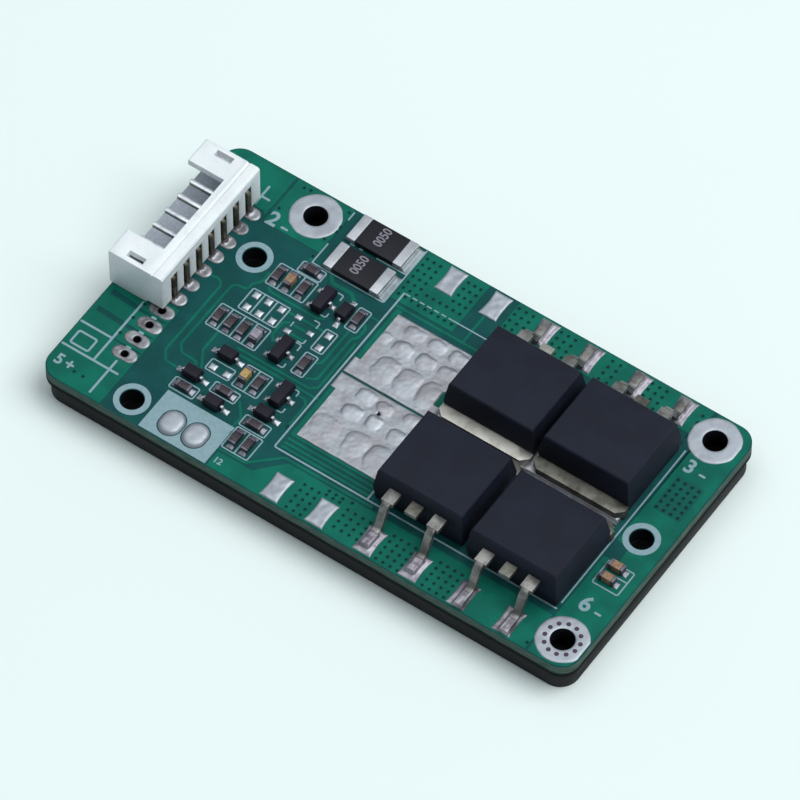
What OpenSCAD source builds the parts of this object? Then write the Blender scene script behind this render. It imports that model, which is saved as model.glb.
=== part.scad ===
// Battery management board: a circuit board bonded to a black backing plate.
// Four power MOSFETs switch the load, two shunts measure the current, a right-angle
// header takes the cell leads, and three wide holes take the battery and load wires.

/* [Board] */
// Length of the circuit board
board_l = 60; // [60:1:72]
// Width of the circuit board
board_w = 32; // [32:1:40]
// Thickness of the circuit board
board_t = 1.6; // [1:0.2:2.4]
// Radius of the board's corners
corner_r = 2; // [1:0.5:3]
// Thickness of tinned copper on the board
tin_t = 0.1; // [0.06:0.02:0.16]
// Thickness of the plating inside a hole
plating_t = 0.05; // [0.04:0.01:0.1]

/* [Backing plate] */
// Thickness of the aluminium plate
plate_t = 2.1; // [1.8:0.1:4]
// Thickness of the bonding film between plate and board
film_t = 0.3; // [0.2:0.1:0.6]
// How far the plate's edge lies inside the board's edge
plate_inset = 0.3; // [0:0.1:0.6]
// Depth of the milled pockets under live metal
pocket_depth = 1.5; // [1.2:0.1:1.6]
// Free space round live metal in the pockets
pocket_gap = 0.6; // [0.4:0.1:1]

/* [Screw holes] */
// Diameter of the screw holes
screw_hole_d = 2.3; // [2:0.1:2.6]
// Centre of the left screw holes from the left edge
screw_left = 9.4; // [9.2:0.1:9.8]
// Centre of the near left screw hole from the near edge
screw_near = 2.2; // [2:0.1:2.6]
// Centre of the upper left screw hole from the near edge
screw_upper = 22; // [21:0.5:23]
// Centre of the right screw hole from the right edge
screw_right = 2.7; // [2.4:0.1:3]

/* [Wire terminals] */
// Diameter of the wire holes
wire_hole_d = 2.4; // [2:0.1:2.8]
// Thickness of the tinned wall of a wire hole
wire_wall = 0.2; // [0.16:0.02:0.24]
// Radius of the round tinned land
wire_land_r = 2.65; // [2.3:0.05:2.8]
// Width of the two trimmed lands
wire_land_trim = 4.6; // [4.2:0.1:4.7]
// Centre of the battery and load holes from the far edge
wire_far = 2.8; // [2.8:0.1:3.2]

/* [Cell lead header] */
// Pin spacing
pitch = 2; // [2:0.05:2.1]
// Number of holes in the row
hole_count = 11; // [9:1:11]
// Number of pins in the header
pin_count = 7; // [5:1:7]
// Side of the square pin
pin_w = 0.5; // [0.4:0.05:0.6]
// Centre of the hole row from the left edge
row_x = 5.8; // [5.6:0.1:6]
// Depth of the housing
housing_d = 6.2; // [6:0.1:6.3]
// Height of the housing
housing_h = 4.9; // [4.8:0.1:5.6]
// Thickness of the housing's walls
housing_wall = 0.8; // [0.6:0.1:0.9]
// Height of the pins' centre above the board
pin_z = 3.1; // [3:0.1:3.2]

/* [Power transistors] */
// Spacing of the transistor columns
column_pitch = 10.5; // [10.5:0.1:11]
// Width of the moulded body
mosfet_w = 10.1; // [9.6:0.1:10.1]
// Length of the moulded body
mosfet_l = 8.9; // [8.6:0.1:8.9]
// Height of the moulded body
mosfet_h = 4.4; // [4.2:0.1:4.8]
// Thickness of the drain tab
tab_t = 1.3; // [1.1:0.1:1.5]
// How far the tab stands out of the body
tab_out = 1.3; // [1:0.1:1.3]
// Spacing between gate lead and source lead
lead_spacing = 5.08; // [4.8:0.02:5.3]
// Width of a lead's foot
lead_w = 0.8; // [0.6:0.1:1]
// Thickness of a lead
lead_t = 0.5; // [0.4:0.05:0.6]
// From the tip of a lead to the board's edge
tip_edge = 0.8; // [0.6:0.1:1]

/* [Shunts] */
// Length of a shunt
shunt_l = 6.3; // [6:0.1:6.4]
// Width of a shunt
shunt_w = 3.2; // [3:0.1:3.4]
// Height of a shunt
shunt_h = 0.6; // [0.5:0.1:0.9]
// Spacing of the two shunts
shunt_pitch = 3.85; // [3.8:0.05:4]

/* [Small parts] */
// Length of a chip resistor or capacitor
chip_l = 1.6; // [1.4:0.1:1.6]
// Width of a chip resistor or capacitor
chip_w = 0.8; // [0.7:0.05:0.85]
// Height of a chip resistor
chip_h = 0.5; // [0.4:0.05:0.6]
// Height of a chip capacitor
capacitor_h = 0.8; // [0.7:0.05:0.9]
// Length of a small transistor's body
sot_l = 2.9; // [2.7:0.1:3]
// Width of a small transistor's body
sot_w = 1.3; // [1.2:0.05:1.4]
// Height of a small transistor's body
sot_h = 1; // [0.9:0.05:1.1]
// Length of a diode's body
diode_l = 1.8; // [1.6:0.1:1.9]
// Width of a diode's body
diode_w = 1.3; // [1.2:0.05:1.4]

/* [Hidden] */
$fn = 48;

// Levels, from the underside of the plate
film_z = plate_t;
board_z = plate_t + film_t;
deck = board_z + board_t;
seat = deck + tin_t;

// Places measured in from the board's four edges
function from_left(x) = x - board_l / 2;
function from_right(x) = board_l / 2 - x;
function from_near(y) = y - board_w / 2;
function from_far(y) = board_w / 2 - y;

// Screw holes and wire terminals
screws = [
    [from_left(screw_left), from_near(screw_near)],
    [from_left(screw_left), from_near(screw_upper)],
    [from_right(screw_right), 0.2]
];
battery_left = 11.4;
load_right = 3.2;
charger_right = 2.5;
charger_near = 2.9;
battery_at = [from_left(battery_left), from_far(wire_far)];
load_at = [from_right(load_right), from_far(wire_far)];
charger_at = [from_right(charger_right), from_near(charger_near)];
wire_ring = 0.5;
via_r = 0.16;
via_count = 12;
film_screw_gap = 0.2;

// Header row: the pins fill the far end of the row of holes
pad_l = 2.7;
pad_w = 1.5;
under_pad_l = 1.9;
pin_hole_r = 0.4;
header_end = 1.95;
housing_l = (pin_count - 1) * pitch + 2 * header_end;
housing_x = -0.3;
pin_tip_x = 0.6;
tail_l = 1;
joint_r = 0.7;
joint_h = 0.7;
joint_tip_r = 0.38;
first_pad_y = (hole_count - 1) * pitch / 2;
header_mid_y = first_pad_y - (pin_count - 1) * pitch / 2;
window_d = 4.2;
window_end = 3.05;
rear_wall = 1.6;
pin_slot_d = 0.75;
pin_slot_w = 1;
pad_relief = 0.3;
relief_gap = 0.45;

// Power transistors: the tabs of both rows meet at the board's middle line, and the leads
// take what is left towards the edges. Each part slipped a little when it was soldered.
column_x = 10.2;
row_gap = 0.2;
land_edge = 0.25;
lead_zone = board_w / 2 - row_gap / 2 - tab_out - mosfet_l;
lead_reach = lead_zone - tip_edge;
land_l = 0.55 * (lead_zone - land_edge);
land_w = 2.05;
land_waist_r = 10;
land_waist = 0.12;
mosfet_y = row_gap / 2 + tab_out + mosfet_l / 2;
seat_slip = [[-0.15, 0.15], [-0.1, 0.3], [-0.05, 0.2], [0.3, -0.4]];
first_place = 26.5;
places = 2 + floor((board_l - column_x - column_pitch - first_place) / column_pitch);
draft = 0.35;
parting_z = tab_t + 0.6;
lead_z = 2.4;
lead_embed = 1.4;
shoulder_w = 1.3;
shoulder_l = 0.27 * lead_reach;
foot_l = 0.45 * lead_reach;
stub_out = 0.25 * lead_reach;
tab_chamfer = 0.7;
tab_embed = 5;
edge_chamfer = 0.15;

// Tinned areas of the drains
area_gap = 0.2;
area_half = 8.35;
area_left = 24.35;
area_right = 5.2;
area_step = 0.65;
area_step_h = 1.9;
pillow_h = 0.22;
pillow_inset = 2.05;
pillow_gap = 0.6;
pillow_w = 2;

// Shunts
shunt_x = 18.5;
shunt_far = 1.9;
shunt_end_l = 1;
shunt_land_out = 0.7;
shunt_land_in = 0.3;

// Small parts share the strip between the near edge and the shunts
small_strip = board_w - shunt_far - shunt_pitch - shunt_w / 2;
small_spread = small_strip / 24.65;

// Lands of the thermal switch, with their domes of solder
switch_x = 14;
switch_y = 2;
switch_pitch = 2.75;
switch_land_w = 2.4;
switch_land_l = 2.9;
dome_h = 0.8;

// Places of the small parts: from the left edge, from the near edge, turn
resistors = [
    [14.8, 23.7, 0], [12.5, 21.5, 90], [15.4, 21.5, 90], [21.6, 21.6, 90],
    [10.6, 14.5, 90], [12, 14.5, 90], [13.4, 14.5, 90], [20.4, 14.5, 90],
    [18.2, 10.2, 90], [16.1, 7.7, 0], [12.6, 6, 0], [20.6, 6.2, 0],
    [20, 4, 90], [21.4, 4, 90]
];
capacitors = [[13.9, 21.5, 90], [14.9, 14.5, 90], [16.7, 10.2, 90]];
right_capacitors = [[2.7, 12.1, 0], [2.7, 10.6, 0]];
bare_chips = [
    [12.1, 17.7, 90], [13.5, 17.7, 90], [15, 17.7, 90], [20.4, 17.7, 90], [14.3, 9.5, 0]
];
transistors = [[17.8, 21.4], [17.8, 14.5], [20.8, 10.3]];
bare_transistors = [[17.8, 17.75]];
diodes = [
    [20.2, 21.4, 90], [14, 11.2, 0], [12.5, 7.6, 0], [16, 6, 0], [20.6, 7.7, 0]
];
chip_end_l = 0.3;
chip_step = 0.02;
chip_land = [0.8, 0.75];
chip_land_at = 0.8;
sot_pin_spacing = 1.9;
sot_lead_w = 0.4;
sot_lead_t = 0.12;
sot_reach = 0.55;
sot_land = [0.75, 0.6];
diode_h = 0.9;
diode_lead_w = 0.35;
diode_reach = 0.45;
diode_land = [0.8, 0.6];

// ---- Paths bent from strip -------------------------------------------------

// A bend: a curve from one leg of a corner to the other
function bend(a, b, c, d) =
    let (p = b + d * (a - b) / norm(a - b), q = b + d * (c - b) / norm(c - b))
    [for (i = [0 : 5]) let (u = i / 5)
        (1 - u) * (1 - u) * p + 2 * u * (1 - u) * b + u * u * q];

// A path with every inner corner bent
function bent(path, d) = [
    path[0],
    for (i = [1 : len(path) - 2]) each bend(path[i - 1], path[i], path[i + 1], d),
    path[len(path) - 1]
];

function left_of(a, b) = [a[1] - b[1], b[0] - a[0]] / norm(b - a);

// The path moved sideways by h, mitred at each point
function beside(path, h) = [
    for (i = [0 : len(path) - 1])
        let (
            n1 = left_of(path[max(i - 1, 0)], path[max(i, 1)]),
            n2 = left_of(path[min(i, len(path) - 2)], path[min(i + 1, len(path) - 1)])
        )
        path[i] + h * (n1 + n2) / (1 + n1 * n2)
];

function reversed(list) = [for (i = [len(list) - 1 : -1 : 0]) list[i]];

// Strip of thickness t along a path, in the path's own plane
module strip(path, t) {
    polygon(concat(beside(path, t / 2), reversed(beside(path, -t / 2))));
}

// Upright sheet: a profile drawn in Y and Z, w wide along X
module upright_y(w) {
    translate([-w / 2, 0, 0]) rotate([90, 0, 90]) linear_extrude(w) children();
}

// Upright sheet: a profile drawn in X and Z, w wide along Y
module upright_x(w) {
    translate([0, w / 2, 0]) rotate([90, 0, 0]) linear_extrude(w) children();
}

// ---- Plain shapes ----------------------------------------------------------

module rounded_rect(l, w, r) {
    square([l - 2 * r, w], center = true);
    square([l, w - 2 * r], center = true);
    for (x = [-1, 1], y = [-1, 1])
        translate([x * (l / 2 - r), y * (w / 2 - r)]) circle(r);
}

// Oval along X: a rectangle with round ends
module oval(l, w) {
    square([l - w, w], center = true);
    for (x = [-1, 1]) translate([x * (l - w) / 2, 0]) circle(w / 2);
}

module bar(size, z) {
    translate([0, 0, z + size[2] / 2]) cube(size, center = true);
}

function pad_y(k) = first_pad_y - k * pitch;

module each_hole() {
    for (k = [0 : hole_count - 1]) translate([from_left(row_x), pad_y(k), 0]) children();
}

// ---- Board, film and plate -------------------------------------------------

module screw_holes(z, h, gap = 0) {
    for (p = screws) translate([p[0], p[1], z - 1])
        cylinder(h = h + 2, d = screw_hole_d + gap);
}

module circuit_board() color("seagreen") difference() {
    translate([0, 0, board_z]) linear_extrude(board_t)
        rounded_rect(board_l, board_w, corner_r);
    screw_holes(board_z, board_t);
    for (p = [battery_at, load_at, charger_at])
        translate([p[0], p[1], board_z - 1])
            cylinder(h = board_t + 2, d = wire_hole_d + 2 * wire_wall);
    each_hole() translate([0, 0, board_z - 1])
        cylinder(h = board_t + 2, r = pin_hole_r + plating_t);
}

// Free space below the wire terminals and the header's tails
module live_space(grow) {
    for (p = [battery_at, load_at, charger_at])
        translate(p) circle(wire_hole_d / 2 + wire_ring + grow);
    translate([from_left(row_x), 0])
        rotate(90) oval((hole_count - 1) * pitch + pad_w + 2 * grow, pad_l + 2 * grow);
}

module backing_outline() {
    rounded_rect(board_l - 2 * plate_inset, board_w - 2 * plate_inset, corner_r);
}

module bonding_film() color("dimgray") difference() {
    translate([0, 0, film_z]) linear_extrude(film_t) difference() {
        backing_outline();
        live_space(pocket_gap);
    }
    screw_holes(film_z, film_t, 2 * film_screw_gap);
}

module backing_plate() color("#202428") difference() {
    linear_extrude(plate_t) backing_outline();
    translate([0, 0, plate_t - pocket_depth]) linear_extrude(pocket_depth + 1)
        live_space(pocket_gap);
    screw_holes(0, plate_t);
}

// ---- Wire terminals --------------------------------------------------------

// Tinned land with its plated hole and the narrow ring on the underside
module wire_terminal(at, trim) {
    translate([at[0], at[1], 0]) difference() {
        union() {
            translate([0, 0, deck]) linear_extrude(tin_t) intersection() {
                circle(wire_land_r, $fn = 96);
                square([trim, 3 * wire_land_r], center = true);
            }
            translate([0, 0, board_z]) cylinder(h = board_t, d = wire_hole_d + 2 * wire_wall);
            translate([0, 0, board_z - tin_t])
                cylinder(h = tin_t, d = wire_hole_d + 2 * wire_ring);
        }
        translate([0, 0, board_z - 1]) cylinder(h = board_t + 2, d = wire_hole_d);
    }
}

module battery_terminal() color("silver") wire_terminal(battery_at, 3 * wire_land_r);

module load_terminal() color("silver") wire_terminal(load_at, wire_land_trim);

// The charger's land has a ring of small vias
module charger_terminal() color("silver") difference() {
    wire_terminal(charger_at, wire_land_trim);
    for (i = [0 : via_count - 1])
        translate([charger_at[0], charger_at[1], deck]) rotate((i + 0.5) * 360 / via_count)
            translate([wire_hole_d / 2 + wire_wall + 2 * via_r, 0, -1])
                cylinder(h = 2, r = via_r, $fn = 16);
}

// ---- Cell lead header ------------------------------------------------------

// Pin bent at a right angle: it runs out of the mouth and down through its hole
module pin_shape(k) {
    path = bent([
        [from_left(pin_tip_x), deck + pin_z],
        [from_left(row_x), deck + pin_z],
        [from_left(row_x), board_z - tail_l]
    ], 0.5);
    translate([0, pad_y(k), 0]) upright_x(pin_w) strip(path, pin_w);
}

module header_pin(k) color("lightgray") pin_shape(k);

// Oval lands on both faces with their plated holes
module header_pads() color("silver") each_hole() difference() {
    union() {
        translate([0, 0, deck]) linear_extrude(tin_t) oval(pad_l, pad_w);
        translate([0, 0, board_z]) cylinder(h = board_t, r = pin_hole_r + plating_t);
        translate([0, 0, board_z - tin_t]) linear_extrude(tin_t) oval(under_pad_l, pad_w);
    }
    translate([0, 0, board_z - 1]) cylinder(h = board_t + 2, r = pin_hole_r);
}

// Cones of solder round the tails, below the board
module header_joints() color("silver") for (k = [0 : pin_count - 1]) difference() {
    translate([from_left(row_x), pad_y(k), board_z - tin_t - joint_h]) rotate_extrude()
        polygon([
            [0, 0], [joint_tip_r, 0], [1.2 * joint_tip_r, joint_h / 2],
            [joint_r, joint_h], [0, joint_h]
        ]);
    pin_shape(k);
}

// Housing as moulded: mouth to the left, window in the roof, comb at the rear
module header_housing() color("white") difference() {
    rear = from_left(housing_x + housing_d);
    mouth = from_left(housing_x);
    inner_l = housing_l - 2 * housing_wall;
    window_l = housing_l - 2 * window_end;
    translate([mouth, header_mid_y, deck]) {
        difference() {
            upright_x(housing_l) polygon([
                [0.15, 0], [housing_d, 0], [housing_d, housing_h - 0.2],
                [housing_d - 0.2, housing_h], [0.15, housing_h], [0, housing_h - 0.15],
                [0, 0.15]
            ]);
            // cavity for the plug
            translate([-1, -inner_l / 2, housing_wall])
                cube([housing_d - rear_wall + 1, inner_l, housing_h - 2 * housing_wall]);
            // window in the roof
            translate([-1, -window_l / 2, housing_h / 2])
                cube([window_d + 1, window_l, housing_h]);
            // slots that hold the plug, one in each shoulder
            for (y = [-1, 1])
                translate([1.7, y * (inner_l / 2 - 0.05) - 0.35, housing_h - housing_wall - 0.1])
                    cube([1.9, 0.7, 2]);
            // groove across the roof
            translate([window_d + 0.8, 0, housing_h]) rotate([0, 45, 0])
                cube([0.24, housing_l + 2, 0.24], center = true);
            // relief over the tinned pads
            translate([row_x - pad_l / 2 - relief_gap - housing_x, -housing_l, -1])
                cube([housing_d, 2 * housing_l, 1 + pad_relief]);
            // comb: a slot behind each pin
            for (k = [0 : pin_count - 1])
                translate([housing_d - pin_slot_d, pad_y(k) - header_mid_y - pin_slot_w / 2, -1])
                    cube([2, pin_slot_w, pin_z + 1.55]);
        }
    }
    for (k = [0 : pin_count - 1]) pin_shape(k);
}

// ---- Power transistors -----------------------------------------------------

// 0 and 1 stand in the far row with leads to the far edge, 2 and 3 in the near row
function far_row(k) = k < 2;
function column(k) = k % 2;
function column_at(c) = from_right(column_x + (1 - c) * column_pitch);

module at_mosfet(k) {
    slip = seat_slip[k];
    y = far_row(k) ? mosfet_y : -mosfet_y;
    translate([column_at(column(k)) + slip[0], y + slip[1], seat])
        rotate(far_row(k) ? 0 : 180) children();
}

// Lead bent like a gull's wing, with a wide shoulder next to the body
module lead_shape() {
    wall = mosfet_l / 2;
    path = bent([
        [wall - lead_embed, lead_z + lead_t / 2],
        [wall + shoulder_l + 0.2, lead_z + lead_t / 2],
        [wall + lead_reach - foot_l, lead_t / 2],
        [wall + lead_reach, lead_t / 2]
    ], 0.5);
    upright_y(lead_w) strip(path, lead_t);
    translate([-shoulder_w / 2, wall - lead_embed, lead_z])
        cube([shoulder_w, lead_embed + shoulder_l, lead_t]);
}

module gate_shape() translate([-lead_spacing / 2, 0, 0]) lead_shape();

module source_shape() translate([lead_spacing / 2, 0, 0]) lead_shape();

// Drain: the flat tab under the body, and the cut middle lead joined to it inside
module drain_shape() {
    wall = mosfet_l / 2;
    tab_w = mosfet_w + 0.1;
    translate([0, -wall, 0]) linear_extrude(tab_t) polygon([
        [-tab_w / 2, 0], [-tab_w / 2, tab_chamfer - tab_out],
        [tab_chamfer - tab_w / 2, -tab_out], [tab_w / 2 - tab_chamfer, -tab_out],
        [tab_w / 2, tab_chamfer - tab_out], [tab_w / 2, 0],
        [tab_w / 2 - 1.6, 0.6], [tab_w / 2 - 1.6, tab_embed],
        [1.6 - tab_w / 2, tab_embed], [1.6 - tab_w / 2, 0.6]
    ]);
    upright_y(shoulder_w) polygon([
        [0, tab_t], [0, lead_z + lead_t], [wall + stub_out, lead_z + lead_t],
        [wall + stub_out, lead_z], [0.5, lead_z], [0.5, tab_t]
    ]);
}

// Outline of the body in one direction: drafted walls and a chamfered top edge
function drafted(w) = [
    [draft / 2 - w / 2, 0], [-w / 2, parting_z],
    [draft - w / 2, mosfet_h - edge_chamfer],
    [draft + edge_chamfer - w / 2, mosfet_h],
    [w / 2 - draft - edge_chamfer, mosfet_h],
    [w / 2 - draft, mosfet_h - edge_chamfer],
    [w / 2, parting_z], [w / 2 - draft / 2, 0]
];

module mosfet_body(k) color("#2b2f38") at_mosfet(k) difference() {
    intersection() {
        upright_x(2 * mosfet_l) polygon(drafted(mosfet_w));
        upright_y(2 * mosfet_w) polygon(drafted(mosfet_l));
    }
    gate_shape();
    source_shape();
    drain_shape();
}

module drain_tab(k) color("lightgray") at_mosfet(k) drain_shape();

module gate_lead(k) color("lightgray") at_mosfet(k) gate_shape();

module source_lead(k) color("lightgray") at_mosfet(k) source_shape();

// ---- Tinned copper of the transistors --------------------------------------

// Land with a slight waist
module lead_land() linear_extrude(tin_t) difference() {
    square([land_w, land_l], center = true);
    for (x = [-1, 1]) translate([x * (land_w / 2 + land_waist_r - land_waist), 0])
        circle(land_waist_r, $fn = 180);
}

module lead_lands(side) {
    for (c = [2 - places : 1], x = [-1, 1])
        translate([
            column_at(c) + x * lead_spacing / 2,
            side * from_far(land_edge + land_l / 2),
            deck
        ]) lead_land();
}

module far_lead_lands() color("silver") lead_lands(1);

module near_lead_lands() color("silver") lead_lands(-1);

// Pillow of solder left by one window of the paste stencil
module pillow(w, l) {
    e = 0.35;
    translate([0, 0, seat]) hull() {
        linear_extrude(0.02) rounded_rect(w, l, 0.5, $fn = 16);
        linear_extrude(pillow_h * 0.7) rounded_rect(w - e, l - e, 0.45, $fn = 16);
        linear_extrude(pillow_h) rounded_rect(w - 2.4 * e, l - 2.4 * e, 0.3, $fn = 16);
    }
}

// Tinned area under a row of drains, with the pillows of its empty place
module tinned_area(y0) {
    x0 = from_left(area_left);
    x1 = column_at(1) + area_right;
    h = area_half - area_gap / 2;
    free = column_at(0) - mosfet_w / 2 - pillow_inset - x0;
    pillows = floor((free + pillow_gap) / (pillow_w + pillow_gap));
    translate([x0, y0, deck]) cube([x1 - x0, h, tin_t]);
    translate([x0 - area_step, y0 > 0 ? y0 : y0 + h - area_step_h, deck])
        cube([area_step + 1, area_step_h, tin_t]);
    for (c = [0 : pillows - 1], row = [[2, 3.2], [5.2, 1.6], [7.35, 1.5]])
        translate([
            x0 + pillow_inset + pillow_w / 2 + c * (pillow_w + pillow_gap), y0 + row[0], 0
        ]) pillow(pillow_w, row[1]);
}

module far_tinned_area() color("silver") tinned_area(area_gap / 2);

module near_tinned_area() color("silver") tinned_area(-area_half);

// ---- Thermal switch joints -------------------------------------------------

// Solder heaped on an oblong land
module dome(w, l, h) {
    r = (w * w / 4 + h * h) / (2 * h);
    module cap() intersection() {
        translate([0, h - r]) circle(r, $fn = 96);
        translate([-w / 2, 0]) square([w, h]);
    }
    upright_x(l - w) cap();
    for (y = [-1, 1]) translate([0, y * (l - w) / 2, 0])
        rotate_extrude() intersection() {
            cap();
            square([w, h]);
        }
}

module switch_joints() color("silver") for (i = [0, 1])
    translate([from_left(switch_x + i * switch_pitch), from_near(switch_y), deck]) {
        bar([switch_land_w, switch_land_l, tin_t], 0);
        translate([0, 0, tin_t]) dome(switch_land_w, switch_land_l, dome_h);
    }

// ---- Shunts ----------------------------------------------------------------

module at_shunt(k) {
    translate([from_left(shunt_x), from_far(shunt_far + k * shunt_pitch), 0]) children();
}

module shunt_body(k) color("#22242c") at_shunt(k)
    bar([shunt_l - 2 * shunt_end_l, shunt_w, shunt_h], seat);

module shunt_ends(k) color("lightgray") at_shunt(k) for (x = [-1, 1])
    translate([x * (shunt_l - shunt_end_l) / 2, 0, 0])
        bar([shunt_end_l, shunt_w, shunt_h + chip_step], seat);

module shunt_lands() color("silver") for (k = [0, 1]) at_shunt(k) for (x = [-1, 1])
    translate([x * (shunt_l / 2 + (shunt_land_out - shunt_land_in - shunt_end_l) / 2), 0, 0])
        bar([shunt_end_l + shunt_land_in + shunt_land_out, shunt_w, tin_t], deck);

// ---- Small parts -----------------------------------------------------------

module at_small(p) {
    translate([from_left(p[0]), from_near(p[1] * small_spread), 0]) rotate(p[2]) children();
}

module at_right(p) {
    translate([from_right(p[0]), from_near(p[1]), 0]) rotate(p[2]) children();
}

module chip_body(h) bar([chip_l - 2 * chip_end_l, chip_w, h], seat);

module chip_ends(h) for (x = [-1, 1])
    translate([x * (chip_l - chip_end_l) / 2, 0, 0])
        bar([chip_end_l, chip_w + chip_step, h + chip_step], seat);

module chip_lands() for (x = [-1, 1])
    translate([x * chip_land_at, 0, 0]) bar([chip_land[0], chip_land[1], tin_t], deck);

module resistor_bodies() color("#3a3038") for (p = resistors) at_small(p) chip_body(chip_h);

module resistor_ends() color("silver") for (p = resistors) at_small(p) chip_ends(chip_h);

module capacitor_bodies() color("#a98462") {
    for (p = capacitors) at_small(p) chip_body(capacitor_h);
    for (p = right_capacitors) at_right(p) chip_body(capacitor_h);
}

module capacitor_ends() color("silver") {
    for (p = capacitors) at_small(p) chip_ends(capacitor_h);
    for (p = right_capacitors) at_right(p) chip_ends(capacitor_h);
}

// Moulded body of a small part, drafted above and below its parting line
module small_body(l, w, h) {
    d = 0.08;
    mid = 0.55 * h;
    function outline(a) = [
        [d - a / 2, 0.05], [-a / 2, mid], [1.6 * d - a / 2, h],
        [a / 2 - 1.6 * d, h], [a / 2, mid], [a / 2 - d, 0.05]
    ];
    intersection() {
        upright_x(2 * w) polygon(outline(l));
        upright_y(2 * l) polygon(outline(w));
    }
}

// Small bent lead: out of the wall at Y = 0, down, and along the board
module small_lead(w, reach, h) {
    t = sot_lead_t;
    upright_y(w) strip(bent([
        [-0.25, 0.5 * h], [0.14, 0.5 * h], [0.3, t / 2], [reach, t / 2]
    ], 0.08), t);
}

module sot_leads() {
    for (y = [-1, 1]) translate([-sot_w / 2, y * sot_pin_spacing / 2, 0])
        rotate(90) small_lead(sot_lead_w, sot_reach, sot_h);
    translate([sot_w / 2, 0, 0]) rotate(-90) small_lead(sot_lead_w, sot_reach, sot_h);
}

module sot_lands() {
    at = sot_w / 2 + sot_reach / 2 + 0.05;
    for (y = [-1, 1]) translate([-at, y * sot_pin_spacing / 2, 0])
        bar([sot_land[0], sot_land[1], tin_t], deck);
    translate([at, 0, 0]) bar([sot_land[0], sot_land[1], tin_t], deck);
}

module transistor_bodies() color("#2a2a32") for (p = transistors)
    at_small([p[0], p[1], 0]) translate([0, 0, seat]) difference() {
        small_body(sot_w, sot_l, sot_h);
        sot_leads();
    }

module transistor_leads() color("silver") for (p = transistors)
    at_small([p[0], p[1], 0]) translate([0, 0, seat]) sot_leads();

module diode_pair() for (a = [-90, 90]) rotate(a) translate([0, diode_l / 2, 0])
    small_lead(diode_lead_w, diode_reach, diode_h);

module diode_bodies() color("#2a2630") for (p = diodes)
    at_small(p) translate([0, 0, seat]) difference() {
        small_body(diode_l, diode_w, diode_h);
        diode_pair();
    }

module diode_leads() color("silver") for (p = diodes)
    at_small(p) translate([0, 0, seat]) diode_pair();

// Tinned lands of all small parts, those left empty too
module small_lands() color("silver") {
    for (p = concat(resistors, capacitors, bare_chips)) at_small(p) chip_lands();
    for (p = right_capacitors) at_right(p) chip_lands();
    for (p = concat(transistors, bare_transistors)) at_small([p[0], p[1], 0]) sot_lands();
    for (p = diodes, x = [-1, 1]) at_small(p)
        translate([x * (diode_l / 2 + diode_reach), 0, 0])
            bar([diode_land[0], diode_land[1], tin_t], deck);
}

circuit_board();
backing_plate();
bonding_film();
header_housing();
header_pads();
header_joints();
header_pin(0);  // header_pin_1
header_pin(1);  // header_pin_2
header_pin(2);  // header_pin_3
header_pin(3);  // header_pin_4
header_pin(4);  // header_pin_5
header_pin(5);  // header_pin_6
header_pin(6);  // header_pin_7
battery_terminal();
load_terminal();
charger_terminal();
far_tinned_area();
near_tinned_area();
far_lead_lands();
near_lead_lands();
switch_joints();
mosfet_body(0);  // mosfet_body_1
mosfet_body(1);  // mosfet_body_2
mosfet_body(2);  // mosfet_body_3
mosfet_body(3);  // mosfet_body_4
drain_tab(0);  // drain_tab_1
drain_tab(1);  // drain_tab_2
drain_tab(2);  // drain_tab_3
drain_tab(3);  // drain_tab_4
gate_lead(0);  // gate_lead_1
gate_lead(1);  // gate_lead_2
gate_lead(2);  // gate_lead_3
gate_lead(3);  // gate_lead_4
source_lead(0);  // source_lead_1
source_lead(1);  // source_lead_2
source_lead(2);  // source_lead_3
source_lead(3);  // source_lead_4
shunt_body(0);  // shunt_body_1
shunt_body(1);  // shunt_body_2
shunt_ends(0);  // shunt_ends_1
shunt_ends(1);  // shunt_ends_2
shunt_lands();
resistor_bodies();
resistor_ends();
capacitor_bodies();
capacitor_ends();
transistor_bodies();
transistor_leads();
diode_bodies();
diode_leads();
small_lands();
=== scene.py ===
# %% [markdown]
# # Battery management board
#
# A small circuit board guards the cells of a battery pack. It is bonded to a black plate that
# takes the heat away, and carries four power transistors, two shunts, a white header for the
# cell leads and three wide holes for power wires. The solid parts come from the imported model
# as a fixed frame. This lesson gives each of them its finish, and adds what a solid model
# leaves out: copper under the green mask, printed lines, small vias and soft solder.

# %% Load the fixed frame
import math

import bmesh
import bpy
from mathutils import Matrix, Vector, noise


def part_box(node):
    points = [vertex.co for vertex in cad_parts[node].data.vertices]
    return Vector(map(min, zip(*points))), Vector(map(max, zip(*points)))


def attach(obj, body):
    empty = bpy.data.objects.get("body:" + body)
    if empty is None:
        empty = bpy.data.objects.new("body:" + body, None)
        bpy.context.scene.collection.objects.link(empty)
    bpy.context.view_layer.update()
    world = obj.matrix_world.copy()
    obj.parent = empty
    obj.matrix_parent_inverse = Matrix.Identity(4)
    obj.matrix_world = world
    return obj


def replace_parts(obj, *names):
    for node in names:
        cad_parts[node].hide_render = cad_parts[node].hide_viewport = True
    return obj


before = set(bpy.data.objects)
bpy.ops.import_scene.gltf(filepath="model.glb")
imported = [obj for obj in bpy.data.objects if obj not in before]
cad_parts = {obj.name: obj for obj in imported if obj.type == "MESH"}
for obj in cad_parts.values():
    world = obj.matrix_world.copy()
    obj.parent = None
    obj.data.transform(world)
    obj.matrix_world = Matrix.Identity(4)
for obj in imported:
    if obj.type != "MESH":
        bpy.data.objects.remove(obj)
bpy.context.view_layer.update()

print("nodes in the frame:", len(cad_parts))

# %% [markdown]
# Everything on the board is placed the way its maker would: so many millimetres in from the
# left edge and from the near edge, and so high above the board's face. One function turns
# such a place into a point of the scene, and reads the board's own box to do it.

# %% Places on the board
MM = 0.001
board_low, board_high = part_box("circuit_board")
deck = board_high.z


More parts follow.
